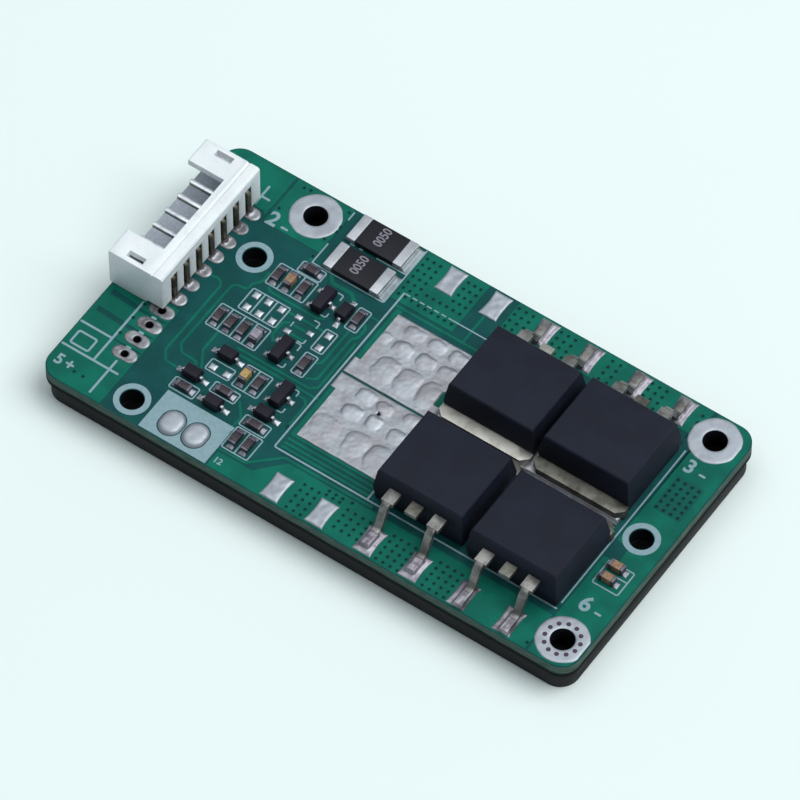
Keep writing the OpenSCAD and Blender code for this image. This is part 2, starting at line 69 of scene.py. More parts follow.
def spot(x, y, z=0.0):
    """A point x and y mm in from the left and near edges, z mm above the board's face."""
    return Vector((board_low.x + x * MM, board_low.y + y * MM, deck + z * MM))


def from_board(point):
    """The other way round: a point of the scene as mm from the left edge, near edge and face."""
    return Vector((point.x - board_low.x, point.y - board_low.y, point.z - deck)) / MM


def footprint(node):
    """The box of a solid, in board millimetres."""
    low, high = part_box(node)
    return from_board(low), from_board(high)


board_length, board_width = from_board(board_high).xy
print(f"board {board_length:.1f} x {board_width:.1f} mm")

# %% [markdown]
# ## Finishes
#
# A finish is a small network of shader nodes. Wiring one by hand is slow to read, so two
# helpers turn it into plain Python. `Signal` wraps an output socket and lets sums be written
# as sums: `1 - 0.5 * speckle` adds the two Math nodes by itself. `Finish.node` is the one
# method that makes every other node from its type, its settings and its sockets.

# %% Sums with sockets
class Signal:
    """An output socket that can be added, multiplied and compared like a number."""

    def __init__(self, finish, socket):
        self.finish, self.socket = finish, socket

    def __add__(self, other):
        return self.finish.sum_up("ADD", self, other)

    def __radd__(self, other):
        return self.finish.sum_up("ADD", other, self)

    def __sub__(self, other):
        return self.finish.sum_up("SUBTRACT", self, other)

    def __rsub__(self, other):
        return self.finish.sum_up("SUBTRACT", other, self)

    def __mul__(self, other):
        return self.finish.sum_up("MULTIPLY", self, other)

    def __rmul__(self, other):
        return self.finish.sum_up("MULTIPLY", other, self)

    def __lt__(self, other):
        return self.finish.sum_up("LESS_THAN", self, other)

    def __abs__(self):
        return self.finish.sum_up("ABSOLUTE", self)


# %% The finish maker
def tone(red, green, blue):
    """A colour as on a paint card, 0 to 255, turned into the linear values Blender mixes."""
    def linear(v):
        v /= 255
        return v / 12.92 if v <= 0.04045 else ((v + 0.055) / 1.055) ** 2.4
    return (linear(red), linear(green), linear(blue), 1.0)


class Finish:
    """One material, built up node by node."""

    def __init__(self, name):
        self.material = bpy.data.materials.new(name)
        self.material.use_nodes = True
        self.tree = self.material.node_tree
        self.tree.nodes.clear()
        self.here = self.node("ShaderNodeTexCoord")("Object")

    def node(self, kind, settings=None, sockets=None):
        """Adds a node and returns a function that fetches its outputs by name or number."""
        made = self.tree.nodes.new(kind)
        for key, value in (settings or {}).items():
            setattr(made, key, value)
        for key, value in (sockets or {}).items():
            if isinstance(value, Signal):
                self.tree.links.new(value.socket, made.inputs[key])
            else:
                made.inputs[key].default_value = value
        return lambda key: Signal(self, made.outputs[key])

    def sum_up(self, operation, *values):
        return self.node("ShaderNodeMath", {"operation": operation}, dict(enumerate(values)))(0)

    def speckle(self, size, detail=2.0, stretch=None, seed=0.0):
        """Cloudy noise from 0 to 1 whose blotches are about `size` mm across."""
        at = self.here
        if stretch:
            at = self.node("ShaderNodeMapping", {}, {"Vector": at, "Scale": stretch})(0)
        return self.node(
            "ShaderNodeTexNoise", {"noise_dimensions": "4D"},
            {"Vector": at, "W": seed, "Scale": 1 / (size * MM), "Detail": detail})("Fac")

    def grains(self, size):
        """Distance to the nearest of many random dots, `size` mm apart."""
        return self.node("ShaderNodeTexVoronoi", {"feature": "F1"},
                         {"Vector": self.here, "Scale": 1 / (size * MM)})("Distance")

    def ease(self, signal, low, high):
        """0 below low, 1 above high, and a soft step between."""
        return self.node("ShaderNodeMapRange", {"interpolation_type": "SMOOTHSTEP"},
                         {"Value": signal, "From Min": low, "From Max": high})(0)

    def blend(self, mask, first, second):
        """The first colour where the mask is 0, and the second where it is 1."""
        return self.node("ShaderNodeMix", {"data_type": "RGBA"}, {0: mask, 6: first, 7: second})(2)

    def surface(self, colour, roughness, relief=None, depth=0.01, **plain):
        """Ends the network in a shader. The relief is `depth` mm deep."""
        sockets = {"Base Color": colour, "Roughness": roughness}
        sockets.update({key.replace("_", " "): value for key, value in plain.items()})
        if relief is not None:
            sockets["Normal"] = self.node(
                "ShaderNodeBump", {}, {"Height": relief, "Distance": depth * MM})(0)
        shader = self.node("ShaderNodeBsdfPrincipled", {}, sockets)(0)
        self.node("ShaderNodeOutputMaterial", {}, {"Surface": shader})
        return self.material


# %% [markdown]
# The green of the board is a varnish over two different grounds. Over bare glass-fibre it
# looks nearly black-green, and over copper it turns lighter and greener, because the metal
# shines through. Both are the same varnish: a gloss that is slightly uneven, like orange
# peel, with a little dust on it. One recipe makes both, from two colours. At the cut edges of
# the board the layers of glass cloth show, so there the recipe turns to a streaky grey-green,
# and the lower part of the edge turns near black, up to a wavy line.

# %% Solder mask, over bare board and over copper
def solder_mask(name, ground, shade, cut_edge=None):
    f = Finish(name)
    clouds = f.speckle(2.5, 3)
    peel = f.speckle(0.35, 2)
    dust = f.ease(f.speckle(0.11, 1), 0.7, 0.8)
    colour = f.blend(f.ease(clouds, 0.35, 0.68), ground, shade)
    colour = f.blend(dust * 0.10, colour, tone(150, 165, 165))
    roughness = 0.42 + 0.16 * clouds + 0.12 * peel
    relief = peel
    if cut_edge:
        facing = f.node("ShaderNodeNewGeometry")("Normal")
        upward = f.node("ShaderNodeSeparateXYZ", {}, {0: facing})("Z")
        side = abs(upward) < 0.5
        layers = f.speckle(0.16, 2, stretch=(0.12, 0.12, 1.0))
        fibre = f.blend(f.ease(layers, 0.35, 0.65), *cut_edge)
        height = f.node("ShaderNodeSeparateXYZ", {}, {0: f.here})("Z")
        # The cut edge is near black from its foot up to a wavy line 0.35 to 0.75 mm above the
        # board's underside.
        dark_top = board_low.z + (0.35 + 0.4 * f.speckle(3, 2)) * MM
        dark_foot = f.ease(height - dark_top, 0.15 * MM, -0.1 * MM)
        fibre = f.blend(dark_foot, fibre, tone(16, 20, 22))
        colour = f.blend(side, colour, fibre)
        roughness = roughness + 0.3 * side
        relief = peel + side * layers
    return f.surface(colour, roughness, relief, 0.006, Specular_IOR_Level=0.13)


mask_over_board = solder_mask(
    "mask_over_board", tone(8, 66, 66), tone(13, 77, 76), (tone(62, 84, 76), tone(88, 106, 94)))
mask_over_copper = solder_mask("mask_over_copper", tone(2, 90, 76), tone(5, 104, 86))
mask_over_vias = solder_mask("mask_over_vias", tone(6, 80, 72), tone(8, 88, 78))
print("varnish ready:", mask_over_board.name, mask_over_copper.name)

# %% [markdown]
# Printed lines are a pale ink, pressed through a fine screen. The ink is matt, and slightly
# darker where it is thin.

# %% Printing ink
def printing_ink():
    f = Finish("printing_ink")
    thick = f.ease(f.speckle(0.30, 2), 0.30, 0.70)
    colour = f.blend(thick, tone(126, 152, 160), tone(134, 160, 168))
    return f.surface(colour, 0.75 - 0.1 * thick, thick, 0.004, Specular_IOR_Level=0.3)


ink = printing_ink()
print("ink ready:", ink.name)

# %% [markdown]
# Solder is the brightest metal on the board. It froze in place, so it has a fine frosty grain
# over a smooth flowing skin, and brown flux dried in spots. Both the grain and the stains are
# noise: the grain feeds roughness and relief, and the stains darken the colour. One recipe
# serves every joint, each with its own brightness and its own share of flux.

# %% Solder, bright and stained
def solder_finish(name, bright, dull, roughness, stain, grain=0.10, depth=0.006):
    f = Finish(name)
    frost = f.speckle(grain, 3)
    pools = f.speckle(1.3, 3, seed=2.0)
    crystals = f.ease(f.grains(grain * 2.2), 0.1, 0.8)
    colour = f.blend(f.ease(pools, 0.40, 0.66), bright, dull)
    flux = f.ease(f.speckle(0.7, 4, seed=5.0), 0.56, 0.70) * stain
    colour = f.blend(flux, colour, tone(112, 82, 52))
    rough = roughness + 0.10 * frost + 0.08 * pools + 0.2 * flux
    return f.surface(colour, rough, 0.6 * frost + 0.4 * crystals, depth, Metallic=1.0)


solder = solder_finish("solder", tone(232, 234, 238), tone(190, 194, 202), 0.32, 0.12)
chip_tin = solder_finish("chip_tin", tone(118, 116, 126), tone(86, 84, 96), 0.50, 0.15)
dull_tin = solder_finish("dull_tin", tone(150, 150, 158), tone(112, 110, 120), 0.46, 0.15)
land_tin = solder_finish("land_tin", tone(178, 183, 190), tone(168, 172, 180), 0.52, 0.0, 0.14)
small_tin = solder_finish("small_tin", tone(194, 198, 203), tone(164, 168, 175), 0.44, 0.06)
area_tin = solder_finish("area_tin", tone(170, 173, 179), tone(161, 159, 164), 0.42, 0.03)
# Painted reflection: the shunt beads' tin is darkened and tinted green, as if mirroring the board.
bead_tin_painted_reflection = solder_finish("bead_tin_painted_reflection", tone(134, 143, 145), tone(112, 120, 124), 0.40, 0.06, 0.2,
                         0.002)
shunt_tin = solder_finish("shunt_tin", tone(196, 198, 203), tone(180, 182, 187), 0.54, 0.0, 0.14)
foot_tin = solder_finish("foot_tin", tone(162, 158, 166), tone(118, 112, 122), 0.46, 0.35, 0.14)
pad_tin = solder_finish("pad_tin", tone(158, 158, 163), tone(116, 114, 118), 0.42, 0.35, 0.14)
lead_tin = solder_finish("lead_tin", tone(152, 151, 148), tone(110, 108, 106), 0.46, 0.20, 0.16)
tab_tin = solder_finish("tab_tin", tone(184, 182, 176), tone(166, 162, 154), 0.48, 0.10, 0.2)
stained_tab = solder_finish("stained_tab", tone(122, 121, 114), tone(92, 90, 83), 0.50, 0.35, 0.2)
pin_tin = solder_finish("pin_tin", tone(124, 120, 108), tone(84, 80, 70), 0.45, 0.5, 0.12)
print("metals:", solder.name, area_tin.name, lead_tin.name)

# %% [markdown]
# Black is never one black. The moulded epoxy of the transistors is a fine matt blue-black with
# tiny pits, the shunts wear a smoother lacquer, and the plate is anodised metal with short
# milling marks. Each is the same idea again: a dark colour, a cloudy roughness, a small relief.

# %% Epoxy, lacquer and other blacks
def moulded_black(name, dark, light, roughness, pit, depth, gloss):
    f = Finish(name)
    pits = f.speckle(pit, 2)
    haze = f.speckle(2.8, 3, seed=1.0)
    dust = f.ease(f.speckle(0.09, 1, seed=4.0), 0.72, 0.80)
    colour = f.blend(f.ease(haze, 0.35, 0.68), dark, light)
    colour = f.blend(dust * 0.16, colour, tone(110, 114, 120))
    return f.surface(colour, roughness + 0.12 * haze + 0.1 * pits, pits, depth,
                     Specular_IOR_Level=gloss)


epoxy = moulded_black("epoxy", tone(10, 15, 31), tone(17, 23, 40), 0.60, 0.10, 0.008, 0.30)
small_epoxy = moulded_black("small_epoxy", tone(20, 17, 29), tone(28, 24, 38), 0.5, 0.08, 0.006,
                            0.25)
lacquer = moulded_black("lacquer", tone(12, 13, 21), tone(18, 19, 28), 0.46, 0.30, 0.010, 0.3)
film = moulded_black("film", tone(12, 13, 15), tone(18, 19, 22), 0.7, 0.2, 0.01, 0.2)
print("blacks:", epoxy.name, small_epoxy.name, lacquer.name, film.name)

# %% Anodised plate, with the short strokes of the mill
def anodised():
    f = Finish("anodised")
    strokes = f.speckle(0.10, 2, stretch=(0.05, 1.0, 1.0))
    haze = f.speckle(6, 2)
    colour = f.blend(haze, tone(8, 10, 12), tone(13, 15, 18))
    return f.surface(colour, 0.5 + 0.2 * haze + 0.1 * strokes, strokes, 0.006,
                     Specular_IOR_Level=0.3)


black_plate = anodised()
print("plate finish:", black_plate.name)

# %% [markdown]
# The chip parts are glazed or fired. A resistor is a dark purple-brown glass film; a capacitor
# is a tan ceramic block. Nylon, of which the header is made, is a bright matt white with a
# faint waxy depth, and grows a little grey where hands and flux have touched it.

# %% Chips and nylon
def fired(name, dark, light, roughness):
    f = Finish(name)
    spots = f.speckle(0.25, 3)
    colour = f.blend(f.ease(spots, 0.35, 0.65), dark, light)
    return f.surface(colour, roughness + 0.15 * spots, spots, 0.004)


resistor_glaze = fired("resistor_glaze", tone(34, 24, 34), tone(52, 40, 48), 0.36)
capacitor_tan = fired("capacitor_tan", tone(128, 96, 72), tone(152, 122, 96), 0.50)
yellow_chip = fired("yellow_chip", tone(150, 122, 70), tone(178, 148, 96), 0.50)
pale_chip = fired("pale_chip", tone(130, 124, 138), tone(152, 146, 160), 0.5)


def nylon():
    f = Finish("nylon")
    flow = f.speckle(1.6, 3)
    grime = f.ease(f.speckle(0.9, 4, seed=3.0), 0.56, 0.76)
    grain = f.speckle(0.08, 2)
    colour = f.blend(f.ease(flow, 0.3, 0.7), tone(225, 230, 232), tone(233, 237, 238))
    colour = f.blend(grime * 0.22, colour, tone(176, 188, 190))
    return f.surface(colour, 0.42 + 0.14 * flow, grain, 0.004,
                     Subsurface_Weight=0.12, Subsurface_Scale=0.0006)


white_nylon = nylon()
# Painted shade: a brown nylon for the comb slots, partly flux stain, and a grey nylon for the floor
# and back wall of the mouth.
flux_and_shade_nylon = fired("flux_and_shade_nylon", tone(92, 90, 80), tone(150, 152, 144), 0.5)
painted_shade_nylon = fired("painted_shade_nylon", tone(158, 165, 175), tone(174, 180, 189), 0.7)
print("finishes so far:", len(bpy.data.materials))

# %% [markdown]
# The inside of a via or a drilled hole is painted dark, as painted shade for the depth of the hole.
# The marking on a shunt is a thin greyish ink, and old flux is a dull film about the pins and the
# charger's vias. None of them needs more than a colour with a little cloud in it.

# %% Dark wells, shunt ink and flux
def plain(name, colour, roughness, size=0.3):
    f = Finish(name)
    change = f.speckle(size, 2)
    darker = tuple(0.72 * part for part in colour[:3]) + (1.0,)
    return f.surface(f.blend(change, darker, colour), roughness + 0.1 * change, change, 0.003,
                     Specular_IOR_Level=0.12)


# Painted shade: these two stand for the dark inside of holes and vias.
well = plain("well", tone(9, 12, 17), 0.7)
green_well = plain("green_well", tone(8, 46, 46), 0.6)
shunt_ink = plain("shunt_ink", tone(138, 134, 144), 0.7, 0.12)
old_flux = plain("old_flux", tone(84, 68, 84), 0.45, 0.4)
pin_flux = plain("pin_flux", tone(84, 80, 80), 0.4, 0.4)
print("all finishes:", len(bpy.data.materials))

# %% [markdown]
# ## Shapes
#
# A few short functions make every added piece. `in_scene` makes an object of a mesh or a
# curve, `drawn_mesh` turns it into the plain mesh that Blender draws for it, and `finished`
# lets a mesh ride on the frame. The mesh itself holds the place, so that every piece sits at
# the origin. Where one piece has several finishes, `paint` picks one for each face.

# %% New pieces
def in_scene(name, data):
    """An object in the scene, of a mesh, a curve, a lamp or a camera."""
    thing = bpy.data.objects.new(name, data)
    bpy.context.scene.collection.objects.link(thing)
    return thing


def drawn_mesh(thing, **keep):
    """The plain mesh of an object and its modifiers. The object itself is removed."""
    view = bpy.context.evaluated_depsgraph_get()
    mesh = bpy.data.meshes.new_from_object(thing.evaluated_get(view), depsgraph=view, **keep)
    bpy.data.objects.remove(thing)
    return mesh


def coat(mesh, *materials):
    """The mesh, with these materials in place of its own."""
    mesh.materials.clear()
    for material in materials:
        mesh.materials.append(material)
    return mesh


def finished(name, mesh):
    """A piece that rides on the frame."""
    mesh.name = name
    piece = in_scene(name, mesh)
    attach(piece, "root")
    return piece


def paint(piece, choose):
    """Gives each face the material whose number choose(face, its place in mm) returns."""
    for face in piece.data.polygons:
        face.material_index = int(choose(face, from_board(face.center)))


# %% [markdown]
# Some pieces are drawn corner by corner. A `Sheet` gathers corners and faces, either as a grid
# whose height comes from a formula, or as a ring of spokes that are joined all the way round.

# %% Sheets of grids and rings
class Sheet:
    """Corners and faces that become one piece."""

    def __init__(self):
        self.corners, self.faces = [], []

    def grid(self, across, along, height, waist=0.0):
        """A grid over the given stops; height(x, y) is in mm. A waist draws in its sides."""
        first, wide = len(self.corners), len(across)
        middle_x, middle_y = (across[0] + across[-1]) / 2, (along[0] + along[-1]) / 2
        for y in along:
            bend = 1 - ((y - middle_y) / (along[-1] - middle_y)) ** 2
            for x in across:
                drawn = middle_x + (x - middle_x) * (1 - waist * bend)
                self.corners.append(spot(drawn, y, height(x, y)))
        for j in range(len(along) - 1):
            for i in range(wide - 1):
                a = first + j * wide + i
                self.faces.append([a, a + 1, a + wide + 1, a + wide])

    def ring(self, spokes, inward=False):
        """Joins each spoke, a row of corners, to the next one. Inward spokes are turned over."""
        first, wide = len(self.corners), len(spokes[0])
        for k, spoke in enumerate(spokes):
            self.corners += spoke
            here, there = first + k * wide, first + (k + 1) % len(spokes) * wide
            for i in range(wide - 1):
                face = [here + i, here + i + 1, there + i + 1, there + i]
                self.faces.append([face[0], *face[:0:-1]] if inward else face)

    def piece(self, name, *materials, smooth=True):
        mesh = bpy.data.meshes.new(name)
        mesh.from_pydata([tuple(c) for c in self.corners], [], self.faces)
        mesh.polygons.foreach_set("use_smooth", [smooth] * len(mesh.polygons))
        mesh.update()
        print(name, "faces:", len(self.faces))
        return finished(name, coat(mesh, *materials))


# %% [markdown]
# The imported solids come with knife-sharp edges, and nothing real has those. `softened` takes a
# copy of a solid, welds its corners, clears needless edges on flat faces, and rounds what is
# left. The rounding is done by the Bevel modifier with hardened normals, so that the flat faces
# stay flat to the light and only the narrow rounding bends it. The copy then stands for the
# solid, which is hidden.

# %% Softened copies of solids
WELD = 2e-6
FLAT_ENOUGH = math.radians(1.0)
EDGE_ANGLE = math.radians(28)


def welded(node):
    """The solid's mesh as bmesh in the scene's frame, its loose triangles joined up."""
    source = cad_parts[node]
    work = bmesh.new()
    work.from_mesh(source.data)
    work.transform(source.matrix_world)
    bmesh.ops.remove_doubles(work, verts=work.verts, dist=WELD)
    bmesh.ops.dissolve_limit(work, angle_limit=FLAT_ENOUGH, verts=work.verts, edges=work.edges)
    return work


def softened(node, width, *materials, segments=2):
    """A copy of a solid with its edges rounded, `width` mm wide."""
    name = node + "_soft"
    work = welded(node)
    mesh = bpy.data.meshes.new(name)
    work.to_mesh(mesh)
    work.free()
    mesh.polygons.foreach_set("use_smooth", [True] * len(mesh.polygons))
    sharp = in_scene(name, mesh)
    bevel = sharp.modifiers.new("rounding", "BEVEL")
    bevel.width = width * MM
    bevel.segments = segments
    bevel.angle_limit = EDGE_ANGLE
    bevel.harden_normals = True
    bevel.use_clamp_overlap = True
    piece = finished(name, coat(drawn_mesh(sharp, preserve_all_data_layers=True), *materials))
    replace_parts(piece, node)
    print(name, "faces:", len(piece.data.polygons))
    return piece


# %% [markdown]
# ## Board, film and plate
#
# The board keeps its own solid and only takes its finish. Its edges are routed, not moulded,
# so they stay crisp. The film and the solder below the header lie sealed under the board, and
# take no more than a finish either. The plate is milled metal: its rim gets the small bevel
# that a milled edge has.

# %% Board, film and plate
kept_solids = {"circuit_board": mask_over_board, "bonding_film": film, "header_joints": solder}
for node, finish in kept_solids.items():
    coat(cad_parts[node].data, finish)
softened("backing_plate", 0.12, black_plate)

# %% [markdown]
# The blind pocket under the charger's hole comes so close to the plate's side that no metal
# is left between them. A thin wall closes that gap, so that the side stays whole.

# %% Wall between the charger's pocket and the plate's side
plate_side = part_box("backing_plate")[1].x
charger_low, charger_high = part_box("charger_terminal")
middle_y = (charger_low.y + charger_high.y) / 2
inner, outer = plate_side - 0.12 * MM, plate_side - 0.004 * MM
near_y, far_y = middle_y - 0.9 * MM, middle_y + 0.9 * MM
wall = Sheet()
wall.corners = [(x, y, z * MM) for z in (0.65, 2.05)
                for x, y in ((inner, near_y), (outer, near_y), (outer, far_y), (inner, far_y))]
wall.faces = [(3, 2, 1, 0), (4, 5, 6, 7), (0, 1, 5, 4), (1, 2, 6, 5), (2, 3, 7, 6), (3, 0, 4, 7)]
wall.piece("plate_rim", black_plate, smooth=False)

# %% [markdown]
# ## Copper under the mask
#
# Copper is a sheet 0.035 mm thick, and the varnish follows its edges, so a wide pour shows as
# a low plateau. A pour is a flat outline raised by that much. Its outline is listed corner by
# corner in board millimetres, as a draughtsman would have drawn it.

# %% Wide pours
COPPER = 0.035


def add_path(curve, places, closed=True):
    """Adds a path of straight steps to a curve."""
    line = curve.splines.new("POLY")
    line.points.add(len(places) - 1)
    line.use_cyclic_u = closed
    for stop, place in zip(line.points, places):
        stop.co = (*place, 1)


def slab(name, outlines, low, high, material):
    """Flat plates with the given outlines, from height low to height high. An outline that
    lies within another one is cut out of it."""
    flat = bpy.data.curves.new(name, "CURVE")
    flat.dimensions, flat.fill_mode = "2D", "BOTH"
    flat.extrude = (high - low) * MM / 2
    for outline in outlines:
        add_path(flat, [(x * MM, y * MM, 0) for x, y in outline])
    mesh = drawn_mesh(in_scene(name + "_flat", flat))
    mesh.transform(Matrix.Translation(spot(0, 0, (low + high) / 2)))
    return finished(name, coat(mesh, material))


def disc(x, y, radius, steps=32, turn=0.0):
    """Corners of a circle, turned by a share of one step."""
    angles = [2 * math.pi * (k + turn) / steps for k in range(steps)]
    return [(x + radius * math.cos(a), y + radius * math.sin(a)) for a in angles]


def block(x0, y0, x1, y1):
    """Corners of an upright rectangle, anticlockwise."""
    return [(x0, y0), (x1, y0), (x1, y1), (x0, y1)]


def quarter(x, y, first_quarter, steps=6):
    """A rounded corner of the board, drawn in by the rim, anticlockwise about a centre."""
    angles = [math.pi / 2 * (first_quarter + k / steps) for k in range(steps + 1)]
    return [(x + (CORNER - RIM) * math.cos(a), y + (CORNER - RIM) * math.sin(a)) for a in angles]


CORNER = 2.0
RIM = 0.1
LEFT, NEAR, FAR = RIM, RIM, board_width - RIM
pours = [
    quarter(2.0, 2.0, 2) + [(7.15, NEAR), (7.15, 13.0), (LEFT, 13.0)],
    [(LEFT, 26.9), (7.0, 26.9), (7.35, 26.5), (7.35, FAR)] + quarter(2.0, 30.0, 1),
    block(7.65, 25.9, 14.1, FAR),
    block(22.6, 25.5, 29.6, FAR),
    block(33.0, 28.5, 55.0, FAR),
    [(19.4, NEAR), (55.2, NEAR), (55.2, 4.6), (25.6, 4.6), (23.2, 2.0), (19.4, 2.0)],
    [(55.45, NEAR)] + quarter(58.0, 2.0, 3) + quarter(58.0, 30.0, 0)
    + [(55.45, FAR), (55.45, 14.9), (56.9, 14.5), (57.0, 12.8), (55.45, 12.7)],
    block(23.8, 7.5, 24.5, 14.0),
    block(23.8, 18.0, 24.5, 24.8),
    block(32.9, 17.75, 33.5, 19.5),
]
print("pours:", len(pours))

# %% [markdown]
# Round each hole the copper is cut back, and between the leads of the header it leaves bare
# stripes. These outlines lie within the pours, so the fill leaves them open.

# %% Openings in the pours
terminals = {"battery_terminal": (11.4, 29.2), "load_terminal": (56.8, 29.2),
             "charger_terminal": (57.5, 2.9)}
screw_places = [(9.4, 2.2), (9.4, 22.0), (57.3, 16.2)]
PINS, PITCH, PIN_X = 7, 2.0, 5.8
pad_places = [(PIN_X, 26.0 - PITCH * k) for k in range(11)]
bare_stripes = [
    [(0.6, 10.85), (3.7, 10.75), (7.0, 10.92), (7.0, 11.05), (3.8, 11.1), (3.5, 11.3), (0.6, 11.5)],
    [(0.6, 8.6), (3.5, 8.45), (7.0, 8.8), (7.0, 8.95), (3.7, 8.95), (3.4, 9.0), (0.6, 9.15)],
    block(3.95, 6.72, 7.0, 6.9),
]
openings = bare_stripes + [disc(x, y, 1.5) for x, y in terminals.values()]
openings.append(disc(*screw_places[2], 1.3))
openings += [disc(x, y, 0.44, 16) for x, y in pad_places[PINS:]]
slab("copper_pours", pours + openings, -0.01, COPPER, mask_over_copper)
slab("via_patch", [block(56.1, 19.7, 59.15, 24.05)], 0.0, COPPER + 0.004, mask_over_vias)
print("openings:", len(openings))

# %% [markdown]
# Traces are paths, so Geometry Nodes makes them. The script draws only the middle line; the
# node tree rounds its corners, sweeps a flat profile along it and sets a round pad at both
# ends. The same tree prints the white lines, because ink is laid along paths too. Width and
# height are inputs of the tree, so one recipe serves them all.

# %% A recipe for flat lines along paths
class Recipe:
    """A Geometry Nodes tree with named inputs, filled in when it is used."""

    node = Finish.node
    sum_up = Finish.sum_up

    def __init__(self, name, **inputs):
        self.tree = bpy.data.node_groups.new(name, "GeometryNodeTree")
        face = self.tree.interface
        face.new_socket("Geometry", in_out="OUTPUT", socket_type="NodeSocketGeometry")
        face.new_socket("Geometry", in_out="INPUT", socket_type="NodeSocketGeometry")
        self.keys = {}
        for label, kind in inputs.items():
            item = face.new_socket(label, in_out="INPUT", socket_type="NodeSocket" + kind)
            self.keys[label] = item.identifier
        self.entry = self.tree.nodes.new("NodeGroupInput")
        self.exit = self.tree.nodes.new("NodeGroupOutput")

    def asked(self, label):
        return Signal(self, self.entry.outputs[label])

    def coated(self, signal, label):
        """The geometry with the material that an input asks for."""
        return self.node("GeometryNodeSetMaterial", {}, {
            "Geometry": signal, "Material": self.asked(label)})(0)

    def joined(self, *signals):
        whole = self.tree.nodes.new("GeometryNodeJoinGeometry")
        for signal in signals:
            self.tree.links.new(signal.socket, whole.inputs[0])
        return Signal(self, whole.outputs[0])

    def result(self, signal):
        self.tree.links.new(signal.socket, self.exit.inputs[0])

    def use(self, name, data, **values):
        """Runs the tree on a curve or a mesh and keeps the mesh it makes."""
        source = in_scene(name + "_path", data)
        made = source.modifiers.new(self.tree.name, "NODES")
        made.node_group = self.tree
        for label, value in values.items():
            made[self.keys[label]] = value
        return finished(name, drawn_mesh(source))


def line_recipe():
    r = Recipe("flat_line", Width="Float", Thickness="Float", Corner="Float", Finish="Material")
    path = r.node("GeometryNodeFilletCurve", {}, {
        "Curve": r.asked("Geometry"), "Radius": r.asked("Corner")})(0)
    path = r.node("GeometryNodeSetCurveNormal", {"mode": "Z_UP"}, {"Curve": path})(0)
    profile = r.node("GeometryNodeCurvePrimitiveQuadrilateral", {}, {
        "Width": r.asked("Width"), "Height": r.asked("Thickness")})(0)
    ribbon = r.node("GeometryNodeCurveToMesh", {}, {
        "Curve": path, "Profile Curve": profile, "Fill Caps": True})(0)
    ends = r.node("GeometryNodeCurveEndpointSelection")(0)
    pad = r.node("GeometryNodeMeshCylinder", {}, {
        "Vertices": 12, "Radius": r.asked("Width") * 0.5,
        "Depth": r.asked("Thickness") * 0.94})(0)
    pads = r.node("GeometryNodeInstanceOnPoints", {}, {
        "Points": path, "Selection": ends, "Instance": pad})(0)
    real = r.node("GeometryNodeRealizeInstances", {}, {0: r.joined(ribbon, pads)})(0)
    flat = r.node("GeometryNodeSetShadeSmooth", {}, {"Geometry": real, "Shade Smooth": False})(0)
    r.result(r.coated(flat, "Finish"))
    return r


flat_line = line_recipe()


def lines(name, paths, width, high, finish, bend=0.3, low=-0.01):
    """Flat lines along paths in board mm, from height low to height high. Each lies a hair
    above the one before, because two faces at one height would black each other out."""
    hair, hairs = 0.0007, 11
    curve = bpy.data.curves.new(name + "_path", "CURVE")
    curve.dimensions = "3D"
    for k, path in enumerate(paths):
        closed = path[0] == path[-1]
        stops = path[:-1] if closed else path
        lift = (low + high) / 2 + hair * (k % hairs)
        add_path(curve, [spot(x, y, lift) for x, y in stops], closed)
    piece = flat_line.use(name, curve, Width=width * MM, Thickness=(high - low) * MM,
                          Corner=bend * MM, Finish=finish)
    print(name, "paths:", len(paths), "faces:", len(piece.data.polygons))
    return piece



# %% [markdown]
# Most traces are narrow, and one that carries more current is half as wide again. They lie a
# little lower than the pours that they run into, so that no two faces share a height.

# %% Traces
traces = [
    [(7.2, 18.0), (8.2, 18.1), (8.65, 17.5), (8.65, 8.6), (9.4, 7.6), (10.9, 7.6)],
    [(11.6, 21.3), (11.6, 20.1), (11.0, 19.4), (11.0, 18.6), (9.9, 18.5), (9.5, 18.1),
     (9.45, 10.0), (10.1, 9.2), (11.7, 9.15), (12.0, 8.9)],
    [(11.55, 13.0), (11.55, 10.6), (12.6, 8.9)],
    [(13.85, 25.25), (13.85, 24.6)],
    [(12.5, 19.9), (12.9, 19.6), (18.3, 19.6), (18.8, 19.9)],
    [(15.6, 18.65), (16.4, 18.65)],
    [(17.2, 18.7), (19.6, 18.7)],
    [(17.1, 17.7), (18.2, 17.7)],
    [(16.4, 17.7), (15.9, 17.4), (15.9, 15.7), (16.4, 15.1)],
    [(17.2, 16.75), (18.8, 16.75)],
    [(14.1, 12.6), (22.3, 12.6), (22.95, 13.2), (22.95, 19.2)],
    [(14.8, 12.05), (23.6, 12.05)],
    [(22.5, 21.5), (22.75, 21.1), (22.75, 20.0), (22.3, 19.4), (22.3, 13.9), (21.4, 13.4)],
    [(21.6, 20.0), (21.6, 15.7), (21.2, 15.3)],
    [(22.4, 22.6), (23.4, 22.6)],
    [(22.0, 11.4), (22.7, 11.35), (23.1, 10.9), (23.1, 8.0)],
    [(17.85, 7.65), (18.95, 6.3), (18.9, 5.1)],
    [(19.2, 2.3), (22.2, 2.35), (24.9, 4.9), (35.0, 4.95)],
    [(24.0, 7.45), (34.0, 7.45)],
    [(24.0, 6.9), (34.0, 6.9)],
    [(24.0, 6.35), (34.0, 6.35)],
    [(24.0, 5.85), (34.0, 5.85)],
    [(23.5, 25.05), (33.0, 25.05)],
    [(31.1, 25.1), (31.1, 28.8)],
]
lines("fine_traces", traces, 0.28, COPPER - 0.012, mask_over_copper)
wide_trace = [(16.6, 24.4), (17.1, 23.75), (19.4, 23.75), (20.2, 23.0)]
lines("wide_traces", [wide_trace], 0.42, COPPER - 0.012, mask_over_copper)

